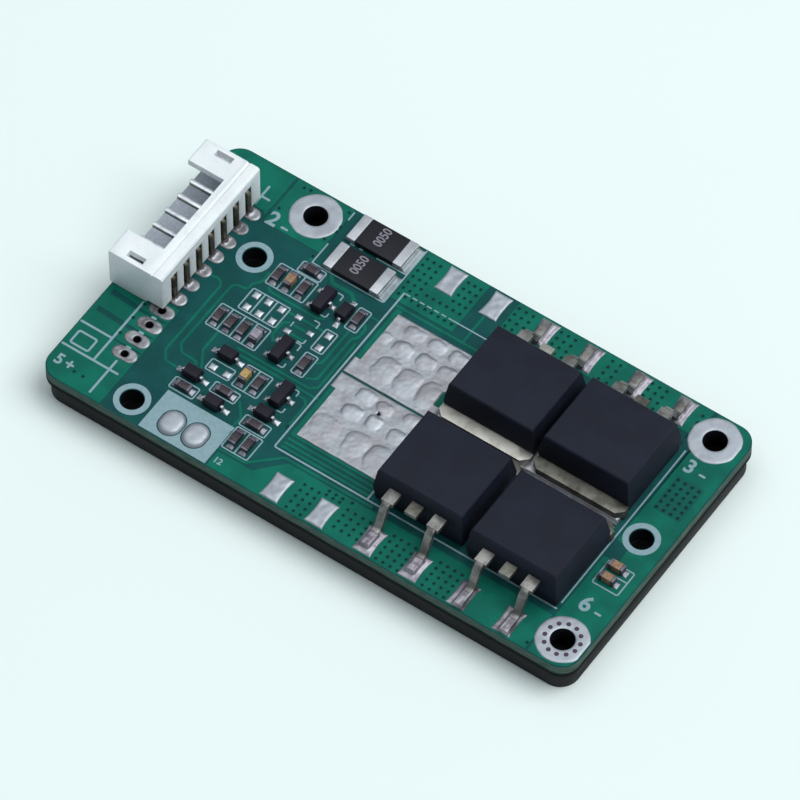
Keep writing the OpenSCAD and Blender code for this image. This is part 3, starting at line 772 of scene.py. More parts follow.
# %% [markdown]
# ## Printed lines
#
# The white print frames each part and marks where parts go. A frame is a closed path, often
# with bars that part it into bays, and a dashed side is a row of short paths.

# %% Frames and dashes
INK = 0.06


def bays(x0, y0, x1, y1, *bars):
    """A printed frame, with an upright bar at each of the given places."""
    return [block(x0, y0, x1, y1) + [(x0, y0)]] + [[(x, y0), (x, y1)] for x in bars]


def dashes(x0, x1, y, length, gap):
    """A dashed line along the board."""
    step = length + gap
    return [[(x0 + k * step, y), (x0 + k * step + length, y)]
            for k in range(int((x1 - x0 + gap) / step))]


frames = (
    bays(13.5, 23.05, 16.1, 24.35)
    + bays(11.85, 20.2, 16.15, 22.9, 13.2, 14.7)
    + bays(11.4, 16.4, 15.65, 19.05, 12.75, 14.2)
    + bays(9.95, 13.15, 15.6, 15.95, 11.25, 12.7, 14.1)
    + bays(20.95, 20.2, 22.25, 22.95)
    + bays(19.75, 16.4, 21.05, 19.1)
    + bays(19.7, 13.2, 21.05, 15.9)
    + bays(12.9, 8.95, 15.55, 10.3)
    + bays(16.05, 8.8, 18.9, 11.6, 17.45)
    + bays(14.7, 7.1, 17.5, 8.35)
    + bays(11.3, 5.35, 14.0, 6.7)
    + bays(19.2, 5.55, 22.05, 6.9)
    + bays(19.3, 2.6, 22.2, 5.3, 20.75)
    + bays(56.15, 9.7, 58.95, 12.6)
    + [[(56.15, 11.35), (58.95, 11.35)]]
)
brackets = [
    [(18.3, 23.1), (18.9, 23.1), (18.9, 22.5)],
    [(18.9, 20.6), (18.9, 20.1), (18.3, 20.1)],
    [(18.3, 19.25), (18.9, 19.25), (18.9, 18.6)],
    [(18.9, 16.9), (18.9, 16.4), (18.3, 16.4)],
    [(18.3, 16.2), (18.9, 16.2), (18.9, 15.5)],
    [(18.9, 13.6), (18.9, 13.1), (18.3, 13.1)],
    [(21.2, 11.75), (21.8, 11.75), (21.8, 11.2)],
    [(21.8, 9.4), (21.8, 8.85), (21.2, 8.85)],
    [(16.75, 17.45), (16.75, 17.95)],
]
bold_lines = [
    [(3.8, 3.75), (3.8, 11.8)],
    [(0.25, 6.8), (3.8, 6.8)],
    [(0.25, 3.75), (6.6, 3.75)],
    [(5.65, 0.65), (5.65, 4.9)],
    [(5.5, 10.9), (5.85, 10.9)],
    [(5.5, 8.85), (5.85, 8.85)],
    [(5.5, 6.8), (5.85, 6.8)],
    *bays(0.75, 4.25, 2.8, 5.8),
    [(5.8, 27.2), (5.8, 29.5)],
    [(5.8, 28.2), (6.7, 28.2)],
]
long_lines = [
    [(23.4, 26.6), (23.4, 5.4), (55.1, 5.4)],
    [(33.9, 5.4), (33.9, 6.6)],
]
shunt_lines = [
    [(14.2, 24.6), (22.4, 24.6), (22.4, 31.8)],
    [(14.2, 24.6), (14.2, 27.2)],
    [(14.2, 30.6), (14.2, 31.6)],
    [(15.95, 28.45), (16.35, 28.45)],
    [(17.0, 28.45), (17.3, 28.45)],
    [(19.0, 28.45), (22.4, 28.45)],
    [(28.9, 26.6), (33.2, 26.6)],
] + dashes(23.6, 29.0, 26.6, 0.42, 0.4)
lines("print_frames", frames + brackets + shunt_lines, 0.15, INK, ink, bend=0.12)
lines("print_lines", long_lines, 0.19, INK - 0.012, ink, bend=0.14)
lines("print_bold", bold_lines, 0.24, INK - 0.012, ink, bend=0.14)
lines("right_line", [[(55.15, 6.2), (55.15, 26.7)]], 0.15, INK, ink)

# %% [markdown]
# The three screw holes wear a broad printed ring, and the wall of each hole is painted dark as
# shade. A ring has
# three rows of faces: its inner wall, its flat top and its outer wall. The thermal switch
# stands on a solid white field with an oval opening for each of its two joints.

# %% Rings round the screw holes, field under the switch
HOLE_FOOT = -1.6


def stadium(x, y, width, length):
    """Corners of an oval that runs away from the near edge."""
    half = (length - width) / 2
    return [(cx, cy + math.copysign(half, cy - y)) for cx, cy in disc(x, y, width / 2)]


rings, bores = Sheet(), Sheet()
for x, y in screw_places:
    rings.ring([[spot(*a, -0.01), spot(*a, INK), spot(*b, INK), spot(*b, -0.01)]
                for a, b in zip(disc(x, y, 1.22, 48), disc(x, y, 1.80, 48))])
    bores.ring([[spot(*c, -0.03), spot(*c, HOLE_FOOT)] for c in disc(x, y, 1.14, 40)])
rings.piece("screw_rings", ink, smooth=False)
# Painted shade: the walls of the screw holes take the dark well finish.
bores.piece("screw_wells", well)
switch_places = [(14.02, 2.12), (16.66, 2.22)]
slab("switch_field", [block(11.55, 0.15, 19.15, 5.0)]
     + [stadium(x, y, 2.58, 3.1) for x, y in switch_places], -0.01, INK, ink)

# %% [markdown]
# ## Vias
#
# A via is a plated hole about a third of a millimetre wide that ties the two faces of copper
# together. There are a few hundred, so the shape must be light: a ring of ten sides with a dark
# disc in it, painted shade for the hole. Geometry Nodes make one ring and one disc, and set them on
# every point of a loose point cloud.

# %% A recipe for many vias
def via_recipe():
    r = Recipe("vias", Radius="Float", Rim="Material", Hole="Material")
    radius = r.asked("Radius")
    loop = r.node("GeometryNodeCurvePrimitiveCircle", {}, {"Resolution": 10, "Radius": radius})(0)
    lip = r.node("GeometryNodeCurvePrimitiveCircle", {}, {
        "Resolution": 5, "Radius": radius * 0.18})(0)
    rim = r.node("GeometryNodeCurveToMesh", {}, {"Curve": loop, "Profile Curve": lip})(0)
    hole = r.node("GeometryNodeMeshCircle", {"fill_type": "NGON"}, {
        "Vertices": 10, "Radius": radius * 0.96})(0)
    hole = r.node("GeometryNodeTransform", {}, {
        "Geometry": hole, "Translation": (0, 0, 0.012 * MM)})(0)
    one = r.joined(r.coated(rim, "Rim"), r.coated(hole, "Hole"))
    many = r.node("GeometryNodeInstanceOnPoints", {}, {
        "Points": r.asked("Geometry"), "Instance": one})(0)
    r.result(r.node("GeometryNodeRealizeInstances", {}, {0: many})(0))
    return r


via_field = via_recipe()


def vias(name, places, radius, rim, high, hole):
    mesh = bpy.data.meshes.new(name + "_path")
    mesh.from_pydata([tuple(spot(x, y, high)) for x, y in places], [], [])
    print(name, len(places))
    return via_field.use(name, mesh, Radius=radius * MM, Rim=rim, Hole=hole)



def rows(x0, y0, columns, count, dx=0.8, dy=0.8):
    return [(x0 + i * dx, y0 + j * dy) for i in range(columns) for j in range(count)]


via_places = (
    rows(22.95, 26.3, 3, 7, 0.75) + rows(27.7, 28.5, 3, 4, 0.7, 0.85)
    + rows(25.3, 26.2, 6, 1, 0.75) + rows(25.3, 27.6, 6, 1, 0.75)
    + rows(33.3, 28.9, 3, 4) + rows(33.3, 27.3, 3, 2) + rows(38.1, 28.9, 3, 4)
    + rows(43.9, 28.9, 2, 4, 0.9) + rows(48.4, 28.9, 3, 4) + rows(54.3, 27.3, 1, 5, dy=0.9)
    + rows(28.2, 0.5, 3, 5, dy=0.75) + rows(30.5, 3.7, 3, 2, 0.75, 0.5)
    + rows(33.1, 1.2, 4, 4, 0.85, 0.75) + rows(38.3, 0.5, 4, 5, dy=0.75)
    + rows(43.5, 0.5, 4, 5, dy=0.75)
)
lone_vias = [
    (4.05, 11.7), (4.05, 9.85), (4.05, 7.75), (3.1, 1.7), (4.1, 1.7), (8.6, 31.3), (9.3, 31.4),
    (8.0, 28.0), (13.8, 31.35), (14.1, 29.5), (14.1, 28.8), (13.6, 27.5), (13.85, 25.25),
    (55.0, 0.8), (33.0, 4.3), (19.2, 4.3), (23.1, 8.0), (35.0, 4.95),
]
# Painted shade: the disc in each via takes the dark green well finish.
vias("copper_vias", via_places + lone_vias, 0.18, mask_over_copper, COPPER + 0.01, green_well)
vias("bare_vias", rows(56.4, 20.0, 4, 6, 0.78, 0.72), 0.19, mask_over_vias, COPPER + 0.014,
     green_well)

# %% [markdown]
# ## Solder
#
# Molten solder pulls itself round. On a tinned land it swells to a low cushion that falls off
# at the edge, and against a lead it climbs in a hollow curve. Both are one thing to draw: a
# fine grid over the land, whose height comes from a formula. `ramp` is the fall-off at the
# edge, `climb` is the hollow curve against an upright wall, and `ripple` is the unevenness.

# %% Heights of solder
def ramp(value, width):
    """0 to 1 as value goes from 0 to width, rising steeply first, as a round edge does."""
    u = min(max(value / width, 0.0), 1.0)
    return math.sqrt(1.0 - (1.0 - u) ** 2)


def climb(distance, height, reach):
    """Height of a hollow fillet at a distance from the wall it climbs."""
    u = min(max(distance / reach, 0.0), 1.0)
    return height * (1.0 - u) ** 2.2


def outside(x, y, x0, y0, x1, y1):
    """Distance from a point to a rectangle, 0 within it."""
    return math.hypot(max(x0 - x, 0.0, x - x1), max(y0 - y, 0.0, y - y1))


def inside(x, y, x0, y0, x1, y1):
    """Distance from a point in a rectangle to its nearest side."""
    return min(x - x0, x1 - x, y - y0, y1 - y)


def ripple(x, y, size, seed=0.0):
    """Smooth noise from -1 to 1 over the board, in waves about `size` mm long."""
    return noise.noise(Vector((x / size, y / size, seed)))


def stops_over(low, high, pitch, edge=0.12):
    """Grid stops from low to high, closer together at the two ends."""
    inner = max(2, math.ceil((high - low - 2 * edge) / pitch))
    stops = [low, low + 0.2 * edge, low + 0.55 * edge]
    stops += [low + edge + (high - low - 2 * edge) * k / inner for k in range(inner + 1)]
    return stops + [high - 0.55 * edge, high - 0.2 * edge, high]


print("half way up the round edge:", round(ramp(0.5, 1.0), 2))

# %% [markdown]
# ## Power transistors
#
# Each is a block of epoxy on a copper tab. The block is softened like the other solids. Leads
# and tabs are stamped from strip, so they get a smaller rounding. The middle lead is cut short
# and belongs to the tab, but it is as bright as the other leads, so its faces are painted.

# %% Transistor bodies, tabs and leads
FAR_PAIR, NEAR_PAIR = (1, 2), (3, 4)
for k in FAR_PAIR + NEAR_PAIR:
    softened(f"mosfet_body_{k}", 0.13, epoxy, segments=3)
    drain = softened(f"drain_tab_{k}", 0.10, tab_tin if k == 1 else stained_tab, lead_tin)
    body_low, body_high = footprint(f"mosfet_body_{k}")
    if k in FAR_PAIR:
        paint(drain, lambda face, place: place.y > body_high.y - 0.5)
    else:
        paint(drain, lambda face, place: place.y < body_low.y + 0.5)
    softened(f"gate_lead_{k}", 0.07, lead_tin)
    softened(f"source_lead_{k}", 0.07, lead_tin)

# %% [markdown]
# The drains stand on two wide tinned areas. Where no transistor stands, the paste was printed
# through separate windows, and each window left its own pillow of solder with a valley round
# it. The height is the sum of a thin cushion, the pillows, a fillet round each tab and a
# little unevenness.

# %% Heights of the tinned areas
# centre x, centre y, half length, half width of each pillow; each leans to the far left
pillows = [
    (27.0, 18.35, 1.25, 1.50), (29.5, 18.25, 1.20, 1.55), (31.95, 18.3, 1.05, 1.55),
    (27.0, 21.2, 1.05, 0.85), (29.6, 21.2, 1.00, 0.80), (32.0, 21.3, 0.90, 0.75),
    (27.0, 23.3, 1.05, 0.70), (29.5, 23.35, 1.00, 0.70), (31.9, 23.2, 0.95, 0.80),
    (24.9, 21.4, 0.65, 0.60), (27.3, 14.85, 1.05, 0.80), (29.45, 14.7, 0.85, 0.65),
    (32.25, 15.0, 0.75, 0.65), (27.15, 12.65, 1.05, 0.85), (29.5, 12.8, 0.75, 0.80),
    (32.1, 12.6, 0.85, 0.85), (29.5, 9.9, 1.25, 1.40), (32.0, 9.7, 1.10, 1.45),
    (26.0, 9.9, 1.50, 1.20),
]
faint = ((24.9, 21.4), (26.0, 9.9))
pinhole = (29.3, 13.9)
bare_notch = (32.9, 17.75, 33.5, 19.5)
COVERED = 0.45


def pillow_height(x, y):
    """Height of the solder pillows above the tin."""
    wx = x + 0.16 * ripple(x, y, 0.9, 11.0)
    wy = y + 0.16 * ripple(x, y, 0.9, 12.0)
    best = 0.0
    for k, (cx, cy, a, b) in enumerate(pillows):
        out = (abs((wx - cx) / a) ** 3.2 + abs((wy - cy) / b) ** 3.2) ** (1 / 3.2)
        if out < 1:
            lean = 0.6 + 0.4 * ((wy - cy) / b - (wx - cx) / a) / 2
            rise = (0.18 + 0.03 * math.sin(5.0 * k)) * lean * (0.45 if (cx, cy) in faint else 1)
            best = max(best, rise * (1 - out ** 2.6) ** 0.62)
    return best



def tab_base(k):
    """The tab of one transistor, as a rectangle on the board."""
    low, high = footprint(f"drain_tab_{k}")
    body_low, body_high = footprint(f"mosfet_body_{k}")
    if k in FAR_PAIR:
        return low.x, low.y, high.x, body_high.y - 0.6
    return low.x, body_low.y + 0.6, high.x, high.y


def area_height(low, high, transistors):
    """The formula for one tinned area; the strip under its right end isn't tinned."""
    bases = [tab_base(k) for k in transistors]

    def height(x, y):
        rim = ramp(inside(x, y, low.x, low.y, high.x - COVERED, high.y), 0.2)
        level = 0.02 + rim * (0.07 + 0.04 * ripple(x, y, 1.3, 3.0) + 0.016 * ripple(x, y, 0.4))
        level += pillow_height(x, y)
        for k, base in enumerate(bases):
            reach = 0.6 + 0.3 * ripple(x, y, 1.1, 7.0 + k)
            level += climb(outside(x, y, *base), 0.45, reach) * rim
        level -= 0.25 * climb(math.dist((x, y), pinhole), 1.0, 0.35)
        return -0.03 if inside(x, y, *bare_notch) > 0 else max(level, 0.015)
    return height


print("pillows:", len(pillows))

# %% [markdown]
# The grid is fine where the pillows lie and coarse under the transistors. To the left of both
# it goes on as a short tongue beside the seam. The pinhole in one pillow is painted dark inside, as
# shade.

# %% Tinned areas
FINE, COARSE = 0.09, 0.25
TONGUE_LENGTH, TONGUE_WIDTH = 0.65, 1.9
split = 34.2
for node, transistors in (("far_tinned_area", FAR_PAIR), ("near_tinned_area", NEAR_PAIR)):
    low, high = footprint(node)
    start = low.x + TONGUE_LENGTH
    formula = area_height(low, high, transistors)
    along = stops_over(low.y, high.y, FINE)
    tinned = Sheet()
    tinned.grid(stops_over(start, split, FINE), along, formula)
    tinned.grid(stops_over(split, high.x - COVERED, COARSE), along, formula)
    seam = low.y if transistors == FAR_PAIR else high.y - TONGUE_WIDTH
    tinned.grid(stops_over(low.x, start + 0.05, 0.15),
                stops_over(seam, seam + TONGUE_WIDTH, 0.2), formula)
    tinned = tinned.piece(node + "_solder", area_tin, well)
    # Painted shade: the faces in the pinhole take the dark well finish.
    paint(tinned, lambda face, place: math.dist(place.xy, pinhole) < 0.19)
    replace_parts(tinned, node)

# %% [markdown]
# Every gate and source lead stands on its own land. The solder climbs both sides of the foot
# and its tip, and lies as a thin cushion over the rest of the land. On the near side it also
# covers the foot like a blanket. The lands are drawn in a little at the waist. Those that
# carry no lead are cleaner and fuller.

# %% Feet of the transistor leads
LAND_WIDTH, LEAD_OFFSET, FOOT_LENGTH = 2.05, 2.54, 2.2
columns = [39.3 - 10.5, 39.3, 49.8]


def lead_feet(pair):
    """The feet of a pair's outer leads, as rectangles."""
    feet = []
    for k in pair:
        for lead in ("gate", "source"):
            low, high = footprint(f"{lead}_lead_{k}")
            y0 = high.y - FOOT_LENGTH if k in FAR_PAIR else low.y
            feet.append((low.x + 0.25, y0, high.x - 0.25, y0 + FOOT_LENGTH))
    return feet


print("feet on the far side:", len(lead_feet(FAR_PAIR)))

# %% Solder under the transistor leads
for side, pair in (("far", FAR_PAIR), ("near", NEAR_PAIR)):
    low, high = footprint(side + "_lead_lands")
    feet = lead_feet(pair)
    middles = [(foot[0] + foot[2]) / 2 for foot in feet]
    lands = Sheet()
    for x in [column + offset for column in columns for offset in (-LEAD_OFFSET, LEAD_OFFSET)]:
        area = (x - LAND_WIDTH / 2, low.y, x + LAND_WIDTH / 2, high.y)
        mine = [foot for foot, middle in zip(feet, middles) if area[0] < middle < area[2]]

        def height(px, py):
            rim = ramp(inside(px, py, *area), 0.3)
            level = 0.03 + rim * ((0.09 if mine else 0.16) + 0.05 * ripple(px, py, 0.7, 1.0))
            for foot in mine:
                beside = outside(px, py, *foot)
                level += rim * climb(beside, 0.30 + 0.08 * ripple(px, py, 0.5), 0.5)
                if side == "near" and beside < 0.1 and py < foot[1] + 1.6:
                    level = 0.64 + 0.07 * ripple(px, py, 0.45, 5.0)
            return level

        lands.grid(stops_over(area[0], area[2], 0.1), stops_over(area[1], area[3], 0.12),
                   height, waist=0.12)
    lands = lands.piece(side + "_lead_lands_solder", foot_tin, land_tin)
    paint(lands, lambda face, place: all(abs(place.x - middle) > 1.3 for middle in middles))
    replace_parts(lands, side + "_lead_lands")

# %% [markdown]
# ## Small parts
#
# Chip resistors, capacitors and diodes keep their solids, softened by a few hundredths of a
# millimetre. Their lands are covered by the same solder grid as the large ones. To know where
# the lands are, the script looks at the solid that holds them all: after welding, each land is
# a loose island of its own, and its box gives place and size.

# %% Islands of a solid
def islands(node):
    """The boxes of a solid's separate parts, in board millimetres."""
    work = welded(node)
    seen, found = set(), []
    for start in work.verts:
        heap, cluster = [start], []
        while heap:
            point = heap.pop()
            if point not in seen:
                seen.add(point)
                cluster.append(from_board(point.co))
                heap += [link.other_vert(point) for link in point.link_edges]
        if cluster:
            low = Vector([min(p[i] for p in cluster) for i in range(3)])
            high = Vector([max(p[i] for p in cluster) for i in range(3)])
            found.append((low, high))
    work.free()
    return found


def rectangles(*nodes):
    """The islands of some solids, as rectangles on the board."""
    return [(low.x, low.y, high.x, high.y) for node in nodes for low, high in islands(node)]


chip_ends = rectangles("resistor_ends", "capacitor_ends")
small_leads = rectangles("transistor_leads", "diode_leads")
small_lands = rectangles("small_lands")
print("chip ends:", len(chip_ends), "leads:", len(small_leads), "lands:", len(small_lands))

# %% [markdown]
# Each small land takes solder that climbs whatever end or lead stands on it. Where nothing or
# a lead stands the tin stayed bright, and under a chip it is duller.

# %% Solder on the small lands
def standing_on(area, walls, slack):
    """The walls whose middle is in an area, or less than the slack outside it."""
    return [wall for wall in walls
            if inside((wall[0] + wall[2]) / 2, (wall[1] + wall[3]) / 2, *area) > -slack]


sheet, bright = Sheet(), []
for area in small_lands:
    chips = standing_on(area, chip_ends, 0.3)
    walls = [(wall, 0.14) for wall in chips]
    walls += [(wall, 0.15) for wall in standing_on(area, small_leads, 0.35)]

    def height(x, y):
        rim = ramp(inside(x, y, *area), 0.32)
        level = 0.03 + rim * (0.07 if walls else 0.15)
        for wall, rise in walls:
            level += rim * climb(outside(x, y, *wall), rise, 0.36)
        return level

    sheet.grid(stops_over(area[0], area[2], 0.12, 0.1), stops_over(area[1], area[3], 0.12, 0.1),
               height)
    bright += [not chips] * (len(sheet.faces) - len(bright))
small_solder = sheet.piece("small_lands_solder", dull_tin, small_tin)
paint(small_solder, lambda face, place: bright[face.index])
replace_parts(small_solder, "small_lands")

# %% [markdown]
# The parts themselves keep the shape of their solids. Two of the capacitors are of other
# kinds, one paler and one more yellow. They belong to the same solid, so they take their
# finish face by face: the faces close to a place get it.

# %% Chips, small transistors and diodes
odd_capacitors = [(14.9, 14.5), (16.7, 10.2)]
softened("resistor_bodies", 0.04, resistor_glaze)
softened("resistor_ends", 0.05, chip_tin)
capacitors = softened("capacitor_bodies", 0.05, capacitor_tan, pale_chip, yellow_chip)
paint(capacitors, lambda face, place: sum(
    k for k, middle in enumerate(odd_capacitors, 1) if math.dist(place.xy, middle) < 1.2))
softened("capacitor_ends", 0.06, chip_tin)
for kind in ("transistor", "diode"):
    softened(kind + "_bodies", 0.06, small_epoxy)
    softened(kind + "_leads", 0.025, small_tin, segments=1)

# %% [markdown]
# The two shunts are wide metal-strip resistors under black lacquer. Each end sits in a broad
# bead of solder, whose tin is darkened and tinted green as a painted reflection of the board.

# %% Shunts
for k in (1, 2):
    softened(f"shunt_body_{k}", 0.09, lacquer, segments=3)
    softened(f"shunt_ends_{k}", 0.09, shunt_tin)
walls = [(low.x, low.y, high.x, high.y)
         for low, high in (footprint(f"shunt_ends_{k}") for k in (1, 2))]
shunts_left = min(wall[0] for wall in walls)
sheet = Sheet()
for x0, *rest in rectangles("shunt_lands"):
    area = (max(x0, shunts_left - 0.25), *rest)

    def height(x, y):
        rim = ramp(inside(x, y, *area), 0.3)
        return 0.03 + rim * (0.08 + sum(climb(outside(x, y, *wall), 0.32, 0.5) for wall in walls))

    sheet.grid(stops_over(area[0], area[2], 0.14), stops_over(area[1], area[3], 0.14), height)
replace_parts(sheet.piece("shunt_lands_solder", bead_tin_painted_reflection), "shunt_lands")

# %% [markdown]
# ## Wire terminals
#
# A wire terminal is a round land about a plated hole. The tin on it is a low ring-shaped
# cushion, so a ring of spokes fits it: each spoke climbs the wall of the hole and runs
# outwards. The battery's and the others' lands differ in how far their right side is cut.

# %% Tin on the wire terminals
BORE, LAND_REACH, LAND_END = 1.19, 2.6, 2.64
cut_widths = {"battery_terminal": 9.0, "load_terminal": 5.0, "charger_terminal": 4.7}


def terminal_tin(x, y, cut, seed):
    """Spokes of a cushion about a hole; its right side is cut straight, to half the cut."""
    shares = [0.0, 0.03, 0.08, 0.16, 0.3, 0.45, 0.6, 0.72, 0.84, 0.92, 0.97, 1.0]
    spokes = []
    for cos, sin in disc(0, 0, 1, 96):
        limit = LAND_REACH + 0.06 * ripple(3 * cos, 3 * sin, 1.0, seed)
        if cos * LAND_REACH > cut / 2:
            limit = cut / 2 / cos
        limit = min(limit, LAND_END)
        spoke = [spot(x + BORE * cos, y + BORE * sin, HOLE_FOOT)]
        for u in shares:
            r = BORE + u * (limit - BORE)
            px, py = x + r * cos, y + r * sin
            rim = min(ramp(r - BORE + 0.02, 0.25), ramp(limit - r, 0.3))
            wave = ripple(px, py, 0.9, seed) + 0.5 * ripple(px, py, 0.35, seed)
            spoke.append(spot(px, py, 0.02 + rim * 0.09 * (1 + 0.2 * wave)))
        spokes.append(spoke)
    return spokes


for seed, (node, (x, y)) in enumerate(terminals.items()):
    sheet = Sheet()
    sheet.ring(terminal_tin(x, y, cut_widths[node], seed))
    tin = sheet.piece(node + "_tin", land_tin, well)
    per_spoke = len(sheet.faces) // 96
    # Painted shade: the first face of each spoke, the wall of the hole, takes the dark well finish.
    paint(tin, lambda face, place: face.index % per_spoke == 0)
    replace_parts(tin, node)
charger_vias = disc(*terminals["charger_terminal"], 1.72, 12, turn=0.5)
vias("charger_vias", charger_vias, 0.2, old_flux, 0.12, old_flux)

# %% [markdown]
# The header's pads are ovals. Their solder is a ring of spokes as well, stretched to the oval,
# and swells round each pin. Four pads have no pin: their holes are wide, and their walls are
# painted dark as shade.

# %% Header pads
PAD_LENGTH, PAD_WIDTH = 2.7, 1.5


def pad_tin_spokes(x, y, hole, pin):
    shares = [0.0, 0.1, 0.18, 0.27, 0.36, 0.5, 0.65, 0.8, 0.92, 1.0]
    half, end = (PAD_LENGTH - PAD_WIDTH) / 2, PAD_WIDTH / 2
    spokes = []
    for cos, sin in disc(0, 0, 1, 40):
        far_x, far_y = math.copysign(half, cos) + end * cos, end * sin
        near_x, near_y = hole * cos, hole * sin
        spoke = [spot(x + near_x, y + near_y, HOLE_FOOT)]
        for u in shares:
            px, py = x + near_x + u * (far_x - near_x), y + near_y + u * (far_y - near_y)
            rim = min(ramp(u + 0.02, 0.2), ramp(1 - u, 0.25))
            level = 0.02 + rim * (0.10 + 0.03 * ripple(px, py, 0.5))
            if pin:
                level += climb(outside(px, py, x - 0.25, y - 0.25, x + 0.25, y + 0.25), 0.28, 0.45)
            spoke.append(spot(px, py, level))
        spokes.append(spoke)
    return spokes


def pad_finish(face, place):
    """Painted shade in the walls of the empty holes, flux close to the pins, else tin."""
    if face.index >= with_pins:
        return face.index % per_spoke == 0
    from_pin = math.hypot(place.x - PIN_X, (place.y + PITCH / 2) % PITCH - PITCH / 2)
    return 2 * (from_pin < 0.50 + 0.10 * ripple(place.x, place.y, 0.9, 8.0))


sheet = Sheet()
for k, (x, y) in enumerate(pad_places):
    pin = k < PINS
    sheet.ring(pad_tin_spokes(x, y, 0.26 if pin else 0.38, pin))
per_pad = len(sheet.faces) // len(pad_places)
per_spoke, with_pins = per_pad // 40, per_pad * PINS
pads = sheet.piece("header_pads_tin", pad_tin, well, pin_flux)
paint(pads, pad_finish)
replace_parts(pads, "header_pads")

# %% [markdown]
# The pins are bright in the housing and stained behind it. Inside the comb the nylon is
# darker and browner, partly flux stain and partly painted shade, and the floor and the back wall of
# the mouth are painted grey as shade.

# %% Header pins and housing
for k in range(1, PINS + 1):
    pin = softened(f"header_pin_{k}", 0.08, pin_tin, solder)
    paint(pin, lambda face, place: place.x < 4.3)


def housing_finish(face, place):
    """Painted shade and flux stain within the comb, painted shade inside the mouth, else white."""
    if 5.0 < place.x < 5.86 and place.z < 4.7 and face.normal.x < 0.9:
        return 1
    in_mouth = place.z < 3.9 and place.x < 5.2 and 13.2 < place.y < 26.8
    back_or_floor = face.normal.z > 0.5 or face.normal.x < -0.5 and place.x > 1
    return 2 * (in_mouth and back_or_floor)


housing = softened("header_housing", 0.12, white_nylon, flux_and_shade_nylon, painted_shade_nylon)
paint(housing, housing_finish)

# %% [markdown]
# The thermal switch stands on its edge elsewhere in the pack, and here only its two joints
# are seen: domes of solder heaped on oblong lands.

# %% Domes
def dome(x, y, width, length, rise, rings=10):
    """Spokes that run from the rim of an oval to the top of the dome over it."""
    half, spokes = (length - width) / 2, []
    for cos, sin in disc(0, 0, 1, 40):
        spoke = []
        for i in range(rings + 1):
            u = 1 - i / rings
            px = x + u * width / 2 * cos
            py = y + u * (math.copysign(half, sin) + width / 2 * sin)
            swell = (1 - u ** 5) ** 0.6
            spoke.append(spot(px, py, 0.02 + swell * (rise + 0.03 * ripple(px, py, 0.8))))
        spokes.append(spoke)
    return spokes


domes = Sheet()
for x, y in switch_places:
    domes.ring(dome(x, y, 2.4, 2.9, 0.42), inward=True)
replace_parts(domes.piece("switch_domes", land_tin), "switch_joints")

# %% [markdown]
# ## Marks
#
# The wires are numbered on the board, each with its sign. A text object is a curve, so it is
# turned into a mesh first and only then moved to its place.

# %% Printed marks
def mark(name, words, x, y, size, material=ink, thick=INK, turn=0.0, lift=0.0, length=None,
         bold=0.03):
    """Text of a given height, centred at a place. A length stretches or squeezes it."""
    curve = bpy.data.curves.new(name + "_text", "FONT")
    curve.body = words
    curve.size = MM
    curve.offset = bold * MM
    curve.extrude = thick * MM / 2
    curve.resolution_u = 4
    mesh = drawn_mesh(in_scene(name + "_text", curve))
    xs, ys = [v.co.x for v in mesh.vertices], [v.co.y for v in mesh.vertices]
    tall = size * MM / (max(ys) - min(ys))
    wide = length * MM / (max(xs) - min(xs)) if length else tall
    middle = Vector(((max(xs) + min(xs)) / 2, (max(ys) + min(ys)) / 2, 0))
    place = Matrix.Translation(spot(x, y, lift + thick / 2 - 0.005))
    mesh.transform(place @ Matrix.Rotation(turn, 4, "Z") @ Matrix.Diagonal((wide, tall, 1, 1))
                   @ Matrix.Translation(-middle))
    return finished(name, coat(mesh, material))


mark("mark_battery", "2", 8.3, 26.7, 1.7)
mark("mark_header", "5", 1.1, 2.1, 1.25)
mark("mark_load", "3", 56.5, 25.5, 1.6)
mark("mark_charger", "6", 57.1, 7.4, 1.8)
mark("mark_field", "12", 20.1, 1.1, 0.7)
signs = [[(9.5, 26.3), (10.1, 26.3)], [(57.75, 25.2), (58.25, 25.2)],
         [(58.35, 7.0), (58.85, 7.0)], [(1.95, 2.1), (2.65, 2.1)], [(2.3, 1.75), (2.3, 2.45)]]
lines("mark_signs", signs, 0.24, INK, ink)
SHUNT_TOP = 0.704
for k, y in enumerate((30.35, 26.5), 1):
    mark(f"mark_shunt_{k}", "0050", 18.3, y, 1.0, shunt_ink, 0.012, math.pi / 2, SHUNT_TOP,
         2.2, 0.02)

# %% [markdown]
# ## Light, floor and camera
#
# The board lies on a pale table in soft window light that comes from behind it. One large area
# lamp stands for the window and a weaker one for the ceiling. The floor is pale by its own
# colour, so that the board's shadow stays on it.

# %% Floor
FLOOR_HALF = 3.0


def floor_finish():
    f = Finish("floor")
    cloud = f.speckle(60, 2)
    seen = f.node("ShaderNodeLightPath")
    direct = seen("Is Camera Ray") + seen("Is Glossy Ray") + seen("Is Transmission Ray")
    pale = f.blend(cloud, tone(229, 238, 236), tone(233, 241, 238))
    colour = f.blend(direct, tone(214, 226, 230), pale)
    return f.surface(colour, 0.9 + 0.05 * cloud, cloud, 0.01, Specular_IOR_Level=0.1)


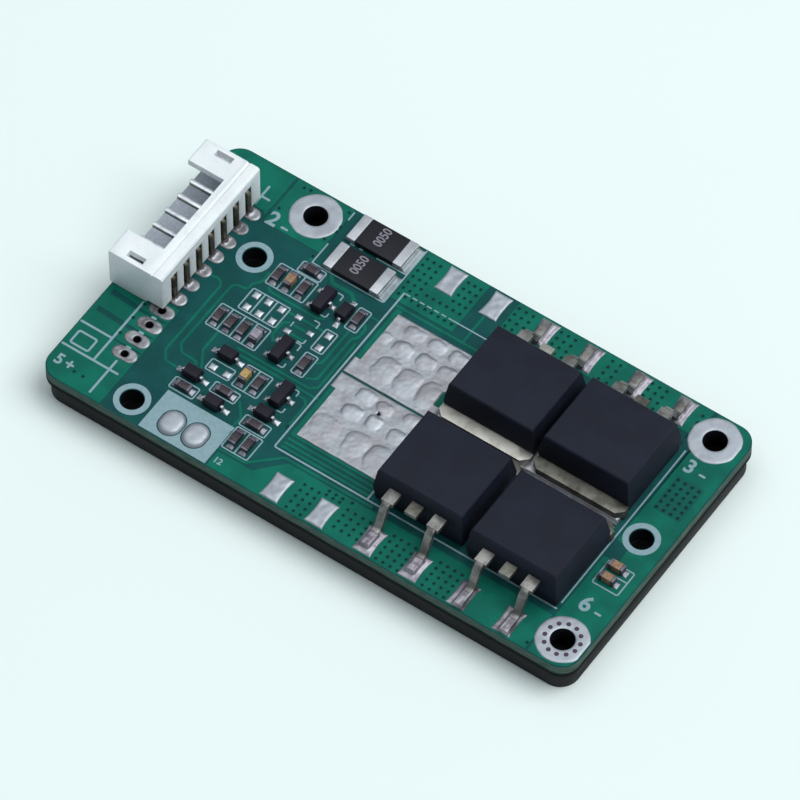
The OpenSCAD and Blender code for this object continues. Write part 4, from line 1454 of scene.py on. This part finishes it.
mesh = bpy.data.meshes.new("floor")
outline = block(-FLOOR_HALF, -FLOOR_HALF, FLOOR_HALF, FLOOR_HALF)
mesh.from_pydata([(x, y, 0) for x, y in outline], [], [(0, 1, 2, 3)])
floor = in_scene("floor", coat(mesh, floor_finish()))
print("floor:", 2 * FLOOR_HALF, "m wide")

# %% Lamps
def lamp(name, place, width, power):
    """A square lamp, `width` m wide, that points at the board."""
    light = bpy.data.lights.new(name, "AREA")
    light.shape = "SQUARE"
    light.size = width
    light.energy = power
    light.color = (0.96, 0.99, 1.0)
    holder = in_scene(name, light)
    holder.location = place
    holder.rotation_euler = (-Vector(place)).to_track_quat("-Z", "Y").to_euler()
    print(name, "lamp:", power, "W")


lamp("window", (0.72, 0.42, 1.35), 1.3, 20.6)
lamp("ceiling", (-0.3, 0.15, 1.5), 1.5, 8.0)
world = bpy.data.worlds.new("room_light")
bpy.context.scene.world = world
world.use_nodes = True
world.node_tree.nodes["Background"].inputs["Color"].default_value = (0.80, 0.92, 1.0, 1)
world.node_tree.nodes["Background"].inputs["Strength"].default_value = 0.305
bpy.context.scene.view_settings.view_transform = "Standard"

# %% [markdown]
# The camera looks down over the near right corner from far away, so the board's long sides
# stay nearly parallel. It is placed by its azimuth, elevation and distance from the aim.

# %% Camera
azimuth, elevation, roll = math.radians(35.004), math.radians(55.352), math.radians(-0.303)
DISTANCE = 0.83879
aim = Vector((0.008, 0.375, 4.0)) * MM
away = Vector((math.sin(azimuth) * math.cos(elevation), -math.cos(azimuth) * math.cos(elevation),
               math.sin(elevation)))
lens = bpy.data.cameras.new("camera")
lens.lens, lens.sensor_width = 404.3, 36.0
lens.clip_start, lens.clip_end = 0.01, 20
camera = in_scene("camera", lens)
camera.matrix_world = (Matrix.Translation(aim + away * DISTANCE)
                       @ away.to_track_quat("Z", "Y").to_matrix().to_4x4()
                       @ Matrix.Rotation(roll, 4, "Z"))
bpy.context.scene.camera = camera
print("camera at", [round(v, 3) for v in camera.matrix_world.translation])
